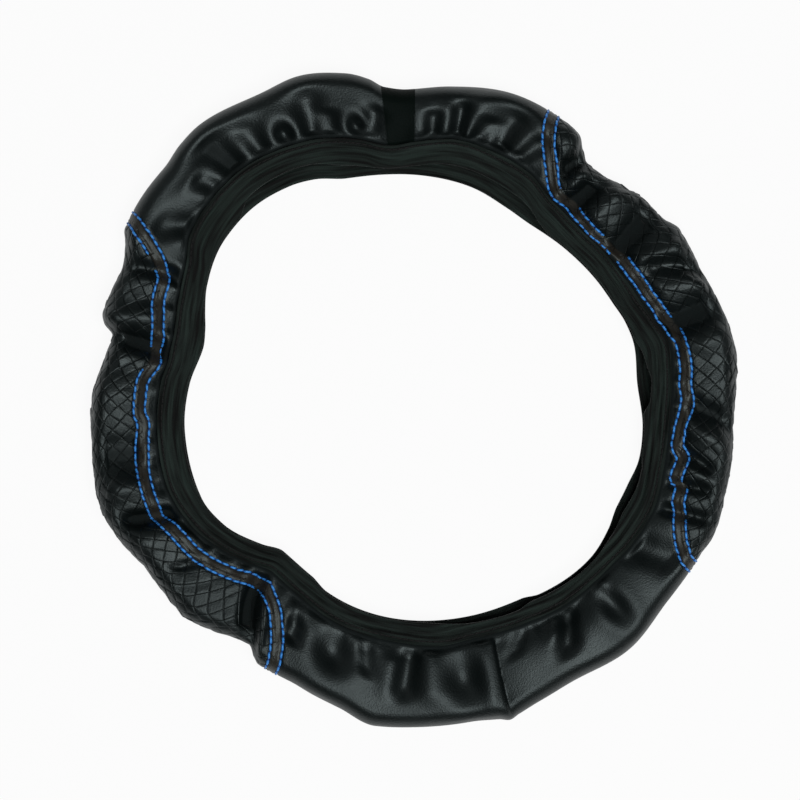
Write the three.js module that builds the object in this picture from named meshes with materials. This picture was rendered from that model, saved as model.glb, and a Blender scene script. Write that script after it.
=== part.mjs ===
import * as THREE from 'three';

// Elastic steering wheel cover, lying relaxed on its back. Millimetres and degrees, +Z towards the front.
// The ring is sewn from smooth and embossed leathercloth, folded round to a C-shaped section that opens
// inwards, with an elastic band along each of its two inner edges.

// Sizes of the ring
const seamRadius = 142; // mean radius of the front edge of the leathercloth
const leatherWidth = 38; // mean width from that edge to the outer fold, seen from the front
const elasticWidth = 15; // mean width of each elastic band
const sectionHeight = 25; // over the front and back layers
const foldDepth = 12; // how far the round of the outer fold reaches in
const flankShare = 0.57; // share of each half of the section that its flank takes, up to that round
const wrapLength = 100; // from sewn edge to sewn edge, over the outer fold
const frontLip = 16; // height of the front layer at its sewn edge
const backLip = 3.2; // height of the back layer at its sewn edge
const backRise = 0.45; // share of the back layer that rises to that edge, the rest lies flat
const bandSlope = 0.3; // fall of the front band for each millimetre inwards
const backBandHeight = 0.2; // underside of the back band

// Sizes of the materials
const sheetThickness = 1.5; // leathercloth with its backing
const elasticThickness = 1.4;
const lap = 5; // leathercloth that runs under an elastic band
const seat = 0.4; // room between a band and the leathercloth that it laps
const pieceGap = 0.3; // room between two panels that meet at a seam
const seamDepth = 1.2; // how far a seam is drawn into the surface
const cellDepth = 0.6; // depth of the embossed grid's grooves
const gatherDepth = 1.4; // depth of the small gathers beside the elastic
const gatherReach = 9; // how far the gathers run out at full depth, before they fade
const gatherFade = 6; // length over which they fade, beyond which the back layer lies flat
const gatherCount = 66; // gathers round each edge
const foldScale = 1; // height of the relaxed folds
const foldStart = 0.22; // share of the way out that the folds take to reach their height
const foldEnd = 0.92; // share of the way out where they start to run out on the outer fold
const leastFoldWidth = 6; // half width of the narrowest fold

// Angles of the plain joining strip at the top
const insertFrom = 89.8;
const insertTo = 96;

// Steps of the meshes
const gripColumns = 48;
const gripRows = 14;
const smoothStep = 7; // length of a smooth panel's columns at the outer fold
const bandSteps = 72;

// How the relaxed outer edge departs from its mean radius: angle, millimetres
const outerEdge = [
  [2.7, 0.7], [8, 2.5], [14.3, 1], [20, -1.5], [25, -3.5], [32.6, -3.2], [36.6, -7.7], [41.3, -9],
  [46.8, -13.3], [50.1, -15.7], [53.5, -15.7], [56, -11], [58, -5], [62, -2.2], [71.9, 0.3], [83.3, -3.2],
  [91.5, -6], [95.4, -3.9], [98, 1.5], [101.9, 7], [110.9, 12.8], [116, 12], [128, 15.4], [132.5, 13.9],
  [137, 11], [141.9, 10.5], [149, 8.2], [152.1, 2.9], [155.8, -0.8], [164, 0.9], [166, -1], [168, -7.4],
  [172.3, -5], [180, 0.5], [187.9, 2.2], [199.1, 5.7], [205.6, 2.5], [213.5, -3], [222.6, -3], [228.2, -7.9],
  [236, -14.7], [239.5, -8.3], [245.9, -7.9], [251.3, -5.4], [256.4, -2.5], [263.2, 3.8], [271, 3.2],
  [280, 3], [284.9, 5], [286.8, 7], [288.5, 5.4], [293, 2.6], [299.5, 0.9], [311, 4.5], [321.8, 1.3],
  [331.5, 2.4], [336.2, 4.2], [342.7, 2.3], [349.7, 1.2], [356, -0.6],
];

// The same for the front edge of the leathercloth, from seamRadius
const frontEdge = [
  [4.4, 2.4], [12, 4], [18.3, -0.2], [25, -4.5], [36.8, -6.8], [45, -8.7], [55, -6.4], [62.5, 0],
  [71.6, 3.5], [80.5, 5.4], [88.8, 2.7], [94.5, 0.8], [97, 1.8], [102, 7], [112.4, 14.5], [127, 18.7],
  [137.9, 16.3], [144.3, 12.8], [148.6, 6.9], [158, 0.4], [166, -3], [170, -3], [175.7, -0.4], [187, 2.5],
  [199.3, 4.3], [209.2, 0.9], [217.8, -5.9], [224.2, -12.1], [230.6, -17.5], [238.1, -15.7], [252.9, -9.4],
  [265.9, -6.4], [277.3, -3.8], [283, -4.7], [295.8, -2.8], [308.6, 0.5], [319.4, 1.6], [326.5, 4],
  [335.5, 5.1], [344.2, 2.8], [355.5, 1.2],
];

// The same for the innermost edge all round, from seamRadius less elasticWidth
const holeEdge = [
  [5, -1], [14.6, 0.7], [20.3, -0.3], [26.1, -2.6], [32.9, -4.1], [44.7, -6.7], [56.8, -8.5], [63.8, -7.1],
  [75.3, -2.9], [88.7, -0.5], [98, 1], [107, 3.3], [114.3, 9.1], [120.4, 12.1], [130, 14], [139.6, 12.5],
  [151.2, 5.8], [157, 0.5], [161.5, -3.3], [165.8, -5], [176.1, -0.5], [187.3, 2.9], [204.7, 4.5],
  [212.9, 1], [223.2, -8.9], [229.3, -14.7], [239.8, -12.6], [245.6, -8.6], [263.8, -3.8], [284.7, -1.5],
  [298.4, 0], [303, 3], [318.4, 6.2], [326.1, 4.4], [332.6, 1.9], [338.2, 2.3], [345, 3.9], [352.7, 2.7],
];

// Where the back band shows beyond the front one: angle, millimetres
const bandPeek = [
  [-4, 0], [0, 5], [5, 7], [8.6, 5], [12, 3], [16, 0], [50, 0], [54, 2], [59, 6.5], [64, 8], [80, 8],
  [84, 7], [89, 4.5], [96, 2.5], [106, 6.5], [112, 8], [119, 7.4], [129, 5.3], [134, 0], [271, 0],
  [284, 3], [296, 4.4], [303, 1], [321, 1.5], [332, 3.7], [338, 4.4], [343, 2.4], [347, 0],
];

// How far the seam of a grip panel runs outside the front elastic, seen from the front: angle, millimetres
const stripReach = [
  [-21, 11.2], [-18.5, 11.4], [-16.9, 7.3], [-12.4, 9.1], [-9.5, 5.2], [-6.2, 6.1], [0, 8.6], [3.3, 7.2],
  [6.3, 7.7], [12, 6.4], [16.5, 4], [23, 5.4], [31, 4.7], [40, 2.4], [46, 3.4], [51, 3], [56.5, 5],
  [64, 8], [147, 9], [154, 10], [158.6, 11], [165, 8.8], [169, 5.8], [171.6, 6.5], [177, 10.3], [182.5, 9.8],
  [185, 7.4], [191, 8.8], [197.6, 10.9], [203.4, 11.1], [210, 9.3], [217, 10.4], [224, 9.7], [230.2, 8.1],
  [241, 9], [330, 10],
];

// Seams between the grips and the smooth panels: angle at the outer fold, angle at the corner beside the
// elastic, and how sharply the seam turns in between
const seams = {
  rightLower: { fold: -30.8, corner: -21, turn: 3.6 },
  rightUpper: { fold: 64, corner: 56.5, turn: 4.5 },
  leftUpper: { fold: 147.3, corner: 154, turn: 3.2 },
  leftLower: { fold: 242.1, corner: 231.5, turn: 4.6 },
};
const cornerAcross = 0.11; // place of the grips' long seams, in shares of the leathercloth's whole width

// Folds of the front layer, hollow below 0 and proud above: angle at the elastic, angle at the outer fold,
// sideways bow between them in degrees, the shares of the way out between which the fold runs, half its
// width at the elastic and at the outer fold, and its height
const folds = [
  [99.9, 95.4, 0, 0.08, 0.59, 2.5, 5, -2.5], [105.2, 103.1, 0, 0.02, 0.33, 2.5, 4, 1.5],
  [107.1, 106.1, 0, 0, 0.34, 3, 6, -2.5], [110.9, 108.9, 0, 0.01, 0.71, 3, 8, -3.5],
  [103.6, 101, 0, 0.42, 0.83, 12, 14, 2], [121.2, 123.6, 0, 0.01, 0.68, 3, 6, -3],
  [123.7, 123.8, 0, 0.05, 0.69, 3, 5, 1.5], [127.2, 130, 0, 0, 0.73, 4, 10, -5],
  [132.8, 137.3, 0, 0, 0.4, 3, 4, -2], [134.5, 137.4, 0, 0.04, 0.58, 3, 6, 1.5],
  [139.2, 142.1, 0, 0.43, 0.92, 14, 18, 2.5], [141.4, 150.6, 0, 0.01, 0.58, 4, 8, -3],
  [144.7, 152.5, 0, 0, 0.39, 4, 4, 1.5], [87.9, 87.8, 0, 0.13, 0.58, 3, 3, 1.5],
  [86, 86.3, 0, 0.02, 0.45, 2.5, 4, -2.2], [83.3, 83.4, 0, 0.05, 0.6, 4, 5, 1.8],
  [80.6, 80.5, 0, 0.01, 0.64, 2.5, 5, -2.5], [78.7, 75.7, 1.2, 0.02, 0.86, 2, 8, 3],
  [77, 72.6, 0, 0.03, 0.38, 3, 6, -2], [71.2, 69, 0, 0.04, 0.74, 3, 8, -4.5],
  [69.9, 65.2, 0, 0.1, 0.8, 4, 8, 3], [67, 59.5, 0, 0.03, 0.4, 3, 4, -2.5],
  [64.7, 57.5, 0, 0.03, 0.3, 3, 3, 1.2], [62, 59.2, 0, 0.56, 0.99, 7, 7, 2.5],
  [57.9, 55.1, 0, 0.42, 0.98, 3.5, 3.5, -4], [53.7, 52.2, 0, 0.42, 0.9, 5, 5, 1.5],
  [50.8, 49.7, 0, 0.01, 0.89, 5, 6, -5], [44.9, 45.3, 0, 0.21, 0.93, 7, 7, 3],
  [36.2, 38.6, 0, 0.2, 0.98, 8, 8, -5], [30.6, 29.3, 0.9, 0.26, 1, 4, 6, 4.5],
  [29.6, 23.9, 2, 0.29, 1, 3, 3.5, -3.5], [26.4, 21.2, 0, 0.28, 0.97, 7, 7, 2],
  [16.3, 17.4, 0, 0.07, 0.96, 8, 8, -5], [11.7, 11.5, 0, 0.17, 1, 9, 9, 3],
  [360.5, 355.6, 0, 0.31, 1, 6, 6, -3.5], [356.1, 350.1, 0, 0.24, 0.99, 6, 6, 2.5],
  [350, 345.5, 0, 0.22, 0.72, 4, 4, -2.5], [346.9, 344.2, 0, 0.24, 0.8, 4, 4, 1.5],
  [341.6, 343.2, 0, 0.31, 0.79, 3.5, 3.5, -1.5], [336.3, 338.2, 0, 0.38, 0.91, 4, 4, -2.5],
  [326.3, 329.9, 0, 0.02, 0.8, 6, 9, -3.5], [303.4, 296.1, 0, 0.02, 0.38, 4, 4, 2],
  [306.5, 298.1, 0, 0.1, 0.64, 4, 6, -3.5], [295.7, 282.7, 0, 0.09, 0.33, 4, 5, -2],
  [287.6, 286.6, -0.5, 0.01, 0.98, 4, 3, 2], [288.8, 287.4, -0.4, 0.03, 0.98, 1.8, 2.5, -3.5],
  [273.2, 272.9, 0, 0.06, 0.74, 6, 6, 2.5], [269.5, 266.8, 0, 0.07, 0.67, 4, 6, -3],
  [265.5, 264.3, 0, 0.16, 0.68, 5, 5, 1.5], [258.8, 261.6, 0, 0.1, 0.44, 3, 6, -2],
  [241.3, 243.9, 0, 0.23, 0.53, 4, 5, -3], [238.9, 242, 0, 0.13, 0.4, 3, 3, 1.5],
  [146.3, 150.1, 0, 0.39, 0.93, 6, 6, 2], [151.9, 155.3, 0, 0.33, 0.97, 4.5, 4.5, -3],
  [161.2, 165.3, 0, 0.23, 0.99, 7, 7, 4], [169, 167.6, 0, 0.04, 1, 5, 5, -5],
  [178.2, 178.6, 0, 0.3, 0.98, 12, 12, 3], [191.2, 189.8, 0, 0.29, 0.91, 11, 11, -3.5],
  [198.4, 196, 0, 0.23, 0.84, 7, 7, 4], [205.6, 202, 0, 0.04, 0.81, 4, 4.5, -5.5],
  [210.4, 207, 0, 0.07, 0.88, 8, 8, 2.5], [218.6, 213.3, 0, 0.33, 0.64, 3, 3, -1.5],
  [228.1, 236.5, -1.4, 0.28, 0.98, 5, 5, -5.5], [230.6, 239.1, 0, 0.34, 0.92, 4, 4, 2.5],
];

// Round hollows: angle, share of the way out, half the length round the ring and outwards, height
const hollows = [
  [102, 0.18, 3.4, 6, -2.2], [116, 0.24, 4, 6.5, -2.2], [314.6, 0.46, 6, 11, -3.5],
  [280.3, 0.41, 8, 13, -3], [252.3, 0.35, 10, 11, -3.2], [315.5, 0.06, 4, 5, 1.5],
];

const clamp = THREE.MathUtils.clamp;
const lerp = THREE.MathUtils.lerp;
const smoothstep = THREE.MathUtils.smoothstep;
const radians = THREE.MathUtils.degToRad;

// The smallest turn from one angle to another
const turnBetween = (from, to) => THREE.MathUtils.euclideanModulo(to - from + 180, 360) - 180;

// A smooth closed curve through points of angle and value, which doesn't overshoot between them
function closedCurve(points) {
  const knots = points
    .map(([angle, value]) => ({ angle: THREE.MathUtils.euclideanModulo(angle, 360), value }))
    .sort((a, b) => a.angle - b.angle);
  const count = knots.length;
  const after = (i) => knots[(i + 1) % count];
  const spans = knots.map((knot, i) => THREE.MathUtils.euclideanModulo(after(i).angle - knot.angle, 360));
  const slopes = knots.map((knot, i) => (after(i).value - knot.value) / spans[i]);
  const tangents = knots.map((knot, i) => {
    const [falling, rising] = [slopes[(i + count - 1) % count], slopes[i]];
    return falling * rising <= 0 ? 0 : (2 * falling * rising) / (falling + rising);
  });
  return (angle) => {
    const turn = THREE.MathUtils.euclideanModulo(angle, 360);
    let i = knots.findLastIndex((knot) => knot.angle <= turn);
    if (i < 0) i = count - 1;
    const next = (i + 1) % count;
    const span = spans[i];
    const t = THREE.MathUtils.euclideanModulo(turn - knots[i].angle, 360) / span;
    const start = knots[i].value * (1 + 2 * t) * (1 - t) ** 2 + knots[next].value * t * t * (3 - 2 * t);
    return start + span * (tangents[i] * t * (1 - t) ** 2 - tangents[next] * t * t * (1 - t));
  };
}

const outerDeparture = closedCurve(outerEdge);
const frontDeparture = closedCurve(frontEdge);
const holeDeparture = closedCurve(holeEdge);
const peekAt = closedCurve(bandPeek);
const stripReachAt = closedCurve(stripReach);

const outerRadius = (angle) => seamRadius + leatherWidth + outerDeparture(angle);
const frontRadius = (angle) => seamRadius + frontDeparture(angle);
const holeRadius = (angle) => seamRadius - elasticWidth + holeDeparture(angle);
const backRadius = (angle) => holeRadius(angle) + elasticWidth;
const frontBandRadius = (angle) => holeRadius(angle) + peekAt(angle);

// Radius and height of the outside of the section, across from the front sewn edge at 0 over the outer fold
// at 0.5 to the back sewn edge at 1. Each half is a flank and a quarter of an oval.
function sectionPoint(angle, across) {
  const turning = outerRadius(angle) - foldDepth;
  const middle = sectionHeight / 2;
  const front = across <= 0.5;
  const start = (front ? frontRadius(angle) : backRadius(angle)) - lap;
  const along = 2 * (front ? across : 1 - across);
  if (along > flankShare) {
    const swing = (((along - flankShare) / (1 - flankShare)) * Math.PI) / 2;
    const lift = middle * Math.cos(swing);
    return { radius: turning + foldDepth * Math.sin(swing), height: front ? middle + lift : middle - lift };
  }
  const flank = along / flankShare;
  const radius = lerp(start, turning, flank);
  if (front) return { radius, height: lerp(sectionHeight, frontLip, (1 - flank) ** 2) };
  const rise = flank < backRise ? 0.5 + 0.5 * Math.cos((Math.PI * flank) / backRise) : 0;
  return { radius, height: backLip * rise };
}

// Where the front half reaches a given radius on its flank
function acrossAtRadius(angle, radius) {
  const start = frontRadius(angle) - lap;
  const flank = (radius - start) / (outerRadius(angle) - foldDepth - start);
  return (clamp(flank, 0.05, 0.95) * flankShare) / 2;
}

// The cut pieces are laid out on a flat pattern, across from 0 to 1. This carries a place on the pattern to
// its place on the section, so that the grips' front seam wanders as it does on the relaxed ring.
function relaxedAcross(angle, across) {
  if (across >= 0.5) return across;
  const seamAt = acrossAtRadius(angle, frontRadius(angle) + stripReachAt(angle));
  if (across < cornerAcross) return (across / cornerAcross) * seamAt;
  return lerp(seamAt, 0.5, (across - cornerAcross) / (0.5 - cornerAcross));
}

// Distance round the ring from an angle to a place, at a radius
const arcFrom = (angle, place, radius) => radians(turnBetween(angle, place)) * radius;

// Height of one fold at a place: a bell over the distance from its line, let in and out along it
function foldHeight(fold, angle, share, radius) {
  const [innerAngle, outerAngle, bow, from, to, innerWidth, outerWidth, rise] = fold;
  const line = lerp(innerAngle, outerAngle, share) + 4 * bow * share * (1 - share);
  const width = Math.max(lerp(innerWidth, outerWidth, clamp(share, 0, 1)), leastFoldWidth);
  const starts = smoothstep(share, Math.max(from - 0.1, 0), from + 0.1);
  const fades = 1 - smoothstep(share, lerp(to, from, 0.45), to + 0.06);
  return foldScale * rise * Math.exp(-((arcFrom(line, angle, radius) / width) ** 2)) * starts * fades;
}

// Height of one round hollow at a place, depth being the whole way out from the elastic to the outer fold
function hollowHeight(hollow, angle, share, radius, depth) {
  const [middle, place, halfRound, halfOut, rise] = hollow;
  const round = arcFrom(middle, angle, radius) / Math.max(halfRound, leastFoldWidth);
  const out = ((share - place) * depth) / halfOut;
  return foldScale * rise * Math.exp(-(round ** 2) - out ** 2);
}

// Height of the folds and gathers over the plain section
function reliefAt(angle, across) {
  const { radius } = sectionPoint(angle, across);
  const front = across <= 0.5;
  const edge = front ? frontRadius(angle) : backRadius(angle);
  const reach = radius - edge;
  const depth = outerRadius(angle) - edge;
  const share = reach / depth;
  const wave = 0.5 + 0.5 * Math.sin(radians(gatherCount * angle) + 2 * Math.sin(radians(5 * angle)));
  const fading = 1 - smoothstep(reach, gatherReach, gatherReach + gatherFade);
  const gather = share > 0 ? -gatherDepth * wave * fading * Math.exp(-reach / gatherReach) : 0;
  if (!front) return gather;
  let height = 0;
  for (const fold of folds) height += foldHeight(fold, angle, share, radius);
  for (const hollow of hollows) height += hollowHeight(hollow, angle, share, radius, depth);
  return gather + height * smoothstep(share, 0, foldStart) * (1 - smoothstep(share, foldEnd, 1));
}

// A point at a given height over the plain outside of the section, in space
function pointOver(angle, across, proud) {
  const step = 0.002;
  const here = sectionPoint(angle, across);
  const before = sectionPoint(angle, Math.max(across - step, 0));
  const after = sectionPoint(angle, Math.min(across + step, 1));
  const slope = new THREE.Vector2(after.radius - before.radius, after.height - before.height).normalize();
  const radius = here.radius - slope.y * proud;
  const turn = radians(angle);
  return new THREE.Vector3(radius * Math.cos(turn), radius * Math.sin(turn), here.height + slope.x * proud);
}

// The direction that the outside surface faces
function surfaceNormal(angle, across) {
  const step = 0.006;
  const at = (turned, place) => pointOver(turned, place, reliefAt(turned, place));
  const rise = at(angle, Math.min(across + step, 1)).sub(at(angle, Math.max(across - step, 0)));
  return rise.cross(at(angle + 0.4, across).sub(at(angle - 0.4, across))).normalize();
}

// The angle at which a seam crosses a place on the pattern, the same on front and back
function seamAngle(seam, place) {
  const along = clamp((Math.min(place, 1 - place) - cornerAcross) / (0.5 - cornerAcross), 0, 1);
  return lerp(seam.fold, seam.corner, (1 - along) ** seam.turn);
}

// How far a piece's end draws back from a seam, in degrees, so that its edge keeps half the gap
function endPull(endAngle, place, radius) {
  const step = 0.01;
  const lean = (radians(endAngle(place + step) - endAngle(place - step)) * radius) / (2 * step * wrapLength);
  return THREE.MathUtils.radToDeg((pieceGap / 2 / radius) * Math.hypot(1, lean));
}

// A closed mesh from lists of points and faces
function meshFrom(name, points, faces, material) {
  const geometry = new THREE.BufferGeometry();
  geometry.setAttribute('position', new THREE.Float32BufferAttribute(points.flatMap((p) => p.toArray()), 3));
  geometry.setIndex(faces.flat());
  geometry.computeVertexNormals();
  const mesh = new THREE.Mesh(geometry, material);
  mesh.name = name;
  return mesh;
}

// A cut piece of leathercloth: an outside surface with every row, an inside surface one sheet below it, with
// every second row where there are several, as low as the folds in the rows beside it, and walls round the
// border. The pieces are drawn back from their seams, so that neighbours keep their gap. places are the rows
// across the pattern, startAngle and endAngle the piece's two ends, pullRows the sides of it that draw back,
// seamSunk and cellSunk how deep each point lies.
function leatherPiece(name, material, layout) {
  const { columns, places, startAngle, endAngle, pullRows, seamSunk, cellSunk } = layout;
  const rows = places.length - 1;
  const every = rows % 2 === 0 ? 2 : 1;
  const points = [];
  const outside = [];
  const inside = [];
  for (let i = 0; i <= columns; i++) {
    outside.push([]);
    inside.push([]);
    for (let j = 0; j <= rows; j++) {
      const place = places[j];
      const plain = lerp(startAngle(place), endAngle(place), i / columns);
      const radius = sectionPoint(plain, relaxedAcross(plain, place)).radius;
      const startPull = i === 0 ? endPull(startAngle, place, radius) : 0;
      const endPullBack = i === columns ? endPull(endAngle, place, radius) : 0;
      const angle = plain + startPull - endPullBack;
      const rowPull = (j === 0 ? pullRows[0] : 0) - (j === rows ? pullRows[1] : 0);
      const across = relaxedAcross(angle, place) + (rowPull * pieceGap) / 2 / wrapLength;
      const seam = seamSunk(i, j, columns, rows);
      const cell = cellSunk(i, j, columns, rows);
      outside[i].push(points.push(pointOver(angle, across, reliefAt(angle, across) - seam - cell)) - 1);
      if (j % every === 0) {
        const beside = [places[j - 1], place, places[j + 1]].filter((other) => other !== undefined);
        const relief = Math.min(...beside.map((other) => reliefAt(angle, relaxedAcross(angle, other))));
        const under = surfaceNormal(angle, across).multiplyScalar(-sheetThickness);
        inside[i][j] = points.push(pointOver(angle, across, relief - seam).add(under)) - 1;
      }
    }
  }
  const faces = [];
  const quad = (a, b, c, d) => faces.push([a, b, c], [a, c, d]);
  for (let i = 0; i < columns; i++) {
    for (let j = 0; j < rows; j++) {
      const corners = [outside[i][j], outside[i][j + 1], outside[i + 1][j + 1], outside[i + 1][j]];
      if ((i + j) % 2 === 0) corners.push(corners.shift());
      quad(...corners);
    }
    for (let j = 0; j < rows; j += every) {
      quad(inside[i][j], inside[i + 1][j], inside[i + 1][j + every], inside[i][j + every]);
    }
    quad(outside[i][0], outside[i + 1][0], inside[i + 1][0], inside[i][0]);
    quad(outside[i][rows], inside[i][rows], inside[i + 1][rows], outside[i + 1][rows]);
  }
  for (const i of [0, columns]) {
    for (let j = 0; j < rows; j += every) {
      const walls = [];
      for (let k = j; k < j + every; k++) walls.push([outside[i][k], inside[i][j], outside[i][k + 1]]);
      walls.push([outside[i][j + every], inside[i][j], inside[i][j + every]]);
      faces.push(...walls.map(([a, b, c]) => (i === 0 ? [a, b, c] : [a, c, b])));
    }
  }
  return meshFrom(name, points, faces, material);
}

// Rows across the pattern that the grips share with the ends of the smooth panels
const gripPlaceAt = (share) => lerp(cornerAcross, 1 - cornerAcross, share);
const gripPlaces = Array.from({ length: gripRows + 1 }, (_, j) => gripPlaceAt(j / gripRows));
const fullPlaces = [0, cornerAcross / 2, ...gripPlaces, 1 - cornerAcross / 2, 1];
const noCells = () => 0;

function gripPanel(name, from, to) {
  const atBorder = (i, j, columns, rows) => i === 0 || j === 0 || i === columns || j === rows;
  return leatherPiece(name, materials.embossed, {
    columns: gripColumns,
    places: gripPlaces,
    startAngle: (place) => seamAngle(from, place),
    endAngle: (place) => seamAngle(to, place),
    pullRows: [1, 1],
    seamSunk: (...at) => (atBorder(...at) ? seamDepth : 0),
    cellSunk: (i, j, columns, rows) => (!atBorder(i, j, columns, rows) && (i + j) % 2 === 1 ? cellDepth : 0),
  });
}

// The narrow strips between a grip and the elastic, front and back
function edgeStrips(side, from, to) {
  const strip = (layer, places, seamRow, pullRows) =>
    leatherPiece(`${side}_${layer}_edge_strip`, materials.plain, {
      columns: gripColumns,
      places,
      startAngle: () => from.corner,
      endAngle: () => to.corner,
      pullRows,
      seamSunk: (i, j) => (j === seamRow ? seamDepth : 0),
      cellSunk: noCells,
    });
  return [
    strip('front', [0, cornerAcross], 1, [0, 1]),
    strip('back', [1 - cornerAcross, 1], 0, [1, 0]),
  ];
}

// A panel of the full width between two ends, each a seam angle by place, with the depth of the seam there
function smoothPanel(name, material, start, end) {
  const length = radians(end.angle(0.5) - start.angle(0.5)) * (seamRadius + leatherWidth);
  return leatherPiece(name, material, {
    columns: Math.max(Math.round(length / smoothStep), 2),
    places: fullPlaces,
    startAngle: start.angle,
    endAngle: end.angle,
    pullRows: [0, 0],
    seamSunk: (i, j, columns, rows) => {
      if (j === 0 || j === rows) return 0;
      return i === 0 ? start.sunk : i === columns ? end.sunk : 0;
    },
    cellSunk: noCells,
  });
}

// An elastic band: a flat ring between two radii, with the height of its underside at each
function elasticBand(name, outer, inner, outerHeight, innerHeight) {
  const points = [];
  const faces = [];
  for (let i = 0; i < bandSteps; i++) {
    const angle = (360 * i) / bandSteps;
    const place = (radius, height) =>
      new THREE.Vector3(radius * Math.cos(radians(angle)), radius * Math.sin(radians(angle)), height);
    points.push(
      place(outer(angle), outerHeight(angle)),
      place(outer(angle), outerHeight(angle) + elasticThickness),
      place(inner(angle), innerHeight(angle) + elasticThickness),
      place(inner(angle), innerHeight(angle)),
    );
    for (let k = 0; k < 4; k++) {
      const next = (i + 1) % bandSteps;
      const [a, b] = [4 * i + k, 4 * i + ((k + 1) % 4)];
      const [c, d] = [4 * next + ((k + 1) % 4), 4 * next + k];
      faces.push([a, d, c], [a, c, b]);
    }
  }
  return meshFrom(name, points, faces, materials.elastic);
}

const material = (color, roughness) => new THREE.MeshStandardMaterial({ color, roughness, metalness: 0 });
const materials = {
  plain: material('#202424', 0.42),
  embossed: material('#1c1f1f', 0.5),
  dull: material('#17191a', 0.75),
  elastic: material('#232524', 0.85),
};

const atSeam = (seam) => ({ angle: (place) => seamAngle(seam, place), sunk: seamDepth });
const atInsert = (angle) => ({ angle: () => angle, sunk: seamDepth / 2 });
const wholeTurn = (seam) => ({ ...seam, fold: seam.fold + 360, corner: seam.corner + 360 });

// The front band lies on the leathercloth's edge and slopes into the hole. The back one is under its edge.
const frontBandHeight = (angle) => {
  const edge = frontRadius(angle);
  return sectionPoint(angle, acrossAtRadius(angle, edge)).height + seat;
};
const frontBandFall = (angle) => bandSlope * (frontRadius(angle) - frontBandRadius(angle));
const frontBandLow = (angle) => frontBandHeight(angle) - frontBandFall(angle);

const cover = new THREE.Group();
cover.add(
  smoothPanel('top_panel_left', materials.plain, atInsert(insertTo), atSeam(seams.leftUpper)),
  smoothPanel('top_panel_right', materials.plain, atSeam(seams.rightUpper), atInsert(insertFrom)),
  smoothPanel('top_insert', materials.dull, atInsert(insertFrom), atInsert(insertTo)),
  smoothPanel('bottom_panel', materials.plain, atSeam(seams.leftLower), atSeam(wholeTurn(seams.rightLower))),
  gripPanel('left_grip_panel', seams.leftUpper, seams.leftLower),
  gripPanel('right_grip_panel', seams.rightLower, seams.rightUpper),
  ...edgeStrips('left', seams.leftUpper, seams.leftLower),
  ...edgeStrips('right', seams.rightLower, seams.rightUpper),
  elasticBand('front_elastic_band', frontRadius, frontBandRadius, frontBandHeight, frontBandLow),
  elasticBand('back_elastic_band', backRadius, holeRadius, () => backBandHeight, () => backBandHeight),
);

// The origin is under the middle of the whole cover
const box = new THREE.Box3().setFromObject(cover);
const middle = box.getCenter(new THREE.Vector3());
cover.position.set(-middle.x, -middle.y, -box.min.z);

export default cover;
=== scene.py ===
import math

import bpy
import numpy as np
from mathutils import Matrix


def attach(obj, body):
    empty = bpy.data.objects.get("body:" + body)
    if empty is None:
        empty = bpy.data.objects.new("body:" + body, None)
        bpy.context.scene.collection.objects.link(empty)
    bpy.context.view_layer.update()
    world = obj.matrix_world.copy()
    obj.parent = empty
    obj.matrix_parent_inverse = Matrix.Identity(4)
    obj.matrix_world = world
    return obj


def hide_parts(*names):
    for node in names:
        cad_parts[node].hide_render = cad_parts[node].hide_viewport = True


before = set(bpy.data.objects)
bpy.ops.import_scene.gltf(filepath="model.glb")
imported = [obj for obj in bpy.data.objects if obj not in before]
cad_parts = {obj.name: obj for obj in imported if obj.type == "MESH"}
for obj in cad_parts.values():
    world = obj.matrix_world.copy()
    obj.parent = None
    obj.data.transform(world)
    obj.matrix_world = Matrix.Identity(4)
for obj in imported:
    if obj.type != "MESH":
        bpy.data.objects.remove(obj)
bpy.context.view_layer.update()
print("solids loaded:", len(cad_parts))

# The relaxed ring in millimetres and degrees, with the same sizes and outlines as the solids.
ring = {
    "seamRadius": 142,  # mean radius of the leathercloth's front edge
    "leatherWidth": 38,
    "elasticWidth": 15,
    "sectionHeight": 25,
    "foldDepth": 9.5,  # reach of the round outer fold
    "flankShare": 0.57,
    "frontLip": 19,
    "backLip": 3.2,
    "backRise": 0.45,
    "wrapLength": 100,
    "cornerAcross": 0.11,  # place of the grips' long seams on the pattern
    "lap": 5,
    "sheet": 1.5,  # thickness of the leathercloth
    "gap": -0.5,  # below 0 the sheets lap by this much at a seam, so nothing shows through
    "centre": (-0.0536, 0.0035),  # from the ring's own centre to the middle of its box
}

# Angle and millimetres: how the outer fold departs from its mean radius, the leathercloth's front edge from
# seamRadius, and the hole from its mean radius
outerEdge = [
    (2.7, 0.7), (8, 2.5), (14.3, 1), (20, -1.5), (25, -3.5), (32.6, -3.2), (36.6, -7.7), (41.3, -9),
    (46.8, -13.3), (50.1, -15.7), (53.5, -15.7), (56, -11), (58, -5), (62, -2.2), (71.9, 0.3), (83.3, -3.2),
    (91.5, -6), (95.4, -3.9), (98, 1.5), (101.9, 7), (110.9, 12.8), (116, 12), (128, 15.4), (132.5, 13.9),
    (137, 11), (141.9, 10.5), (149, 8.2), (152.1, 2.9), (155.8, -0.8), (164, 0.9), (166, -1), (168, -7.4),
    (172.3, -5), (180, 0.5), (187.9, 2.2), (199.1, 5.7), (205.6, 2.5), (213.5, -3), (222.6, -3),
    (228.2, -7.9), (236, -14.7), (239.5, -8.3), (245.9, -7.9), (251.3, -5.4), (256.4, -2.5), (263.2, 3.8),
    (271, 3.2), (280, 3), (284.9, 5), (286.8, 7), (288.5, 5.4), (293, 2.6), (299.5, 0.9), (311, 4.5),
    (321.8, 1.3), (331.5, 2.4), (336.2, 4.2), (342.7, 2.3), (349.7, 1.2), (356, -0.6),
]
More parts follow.
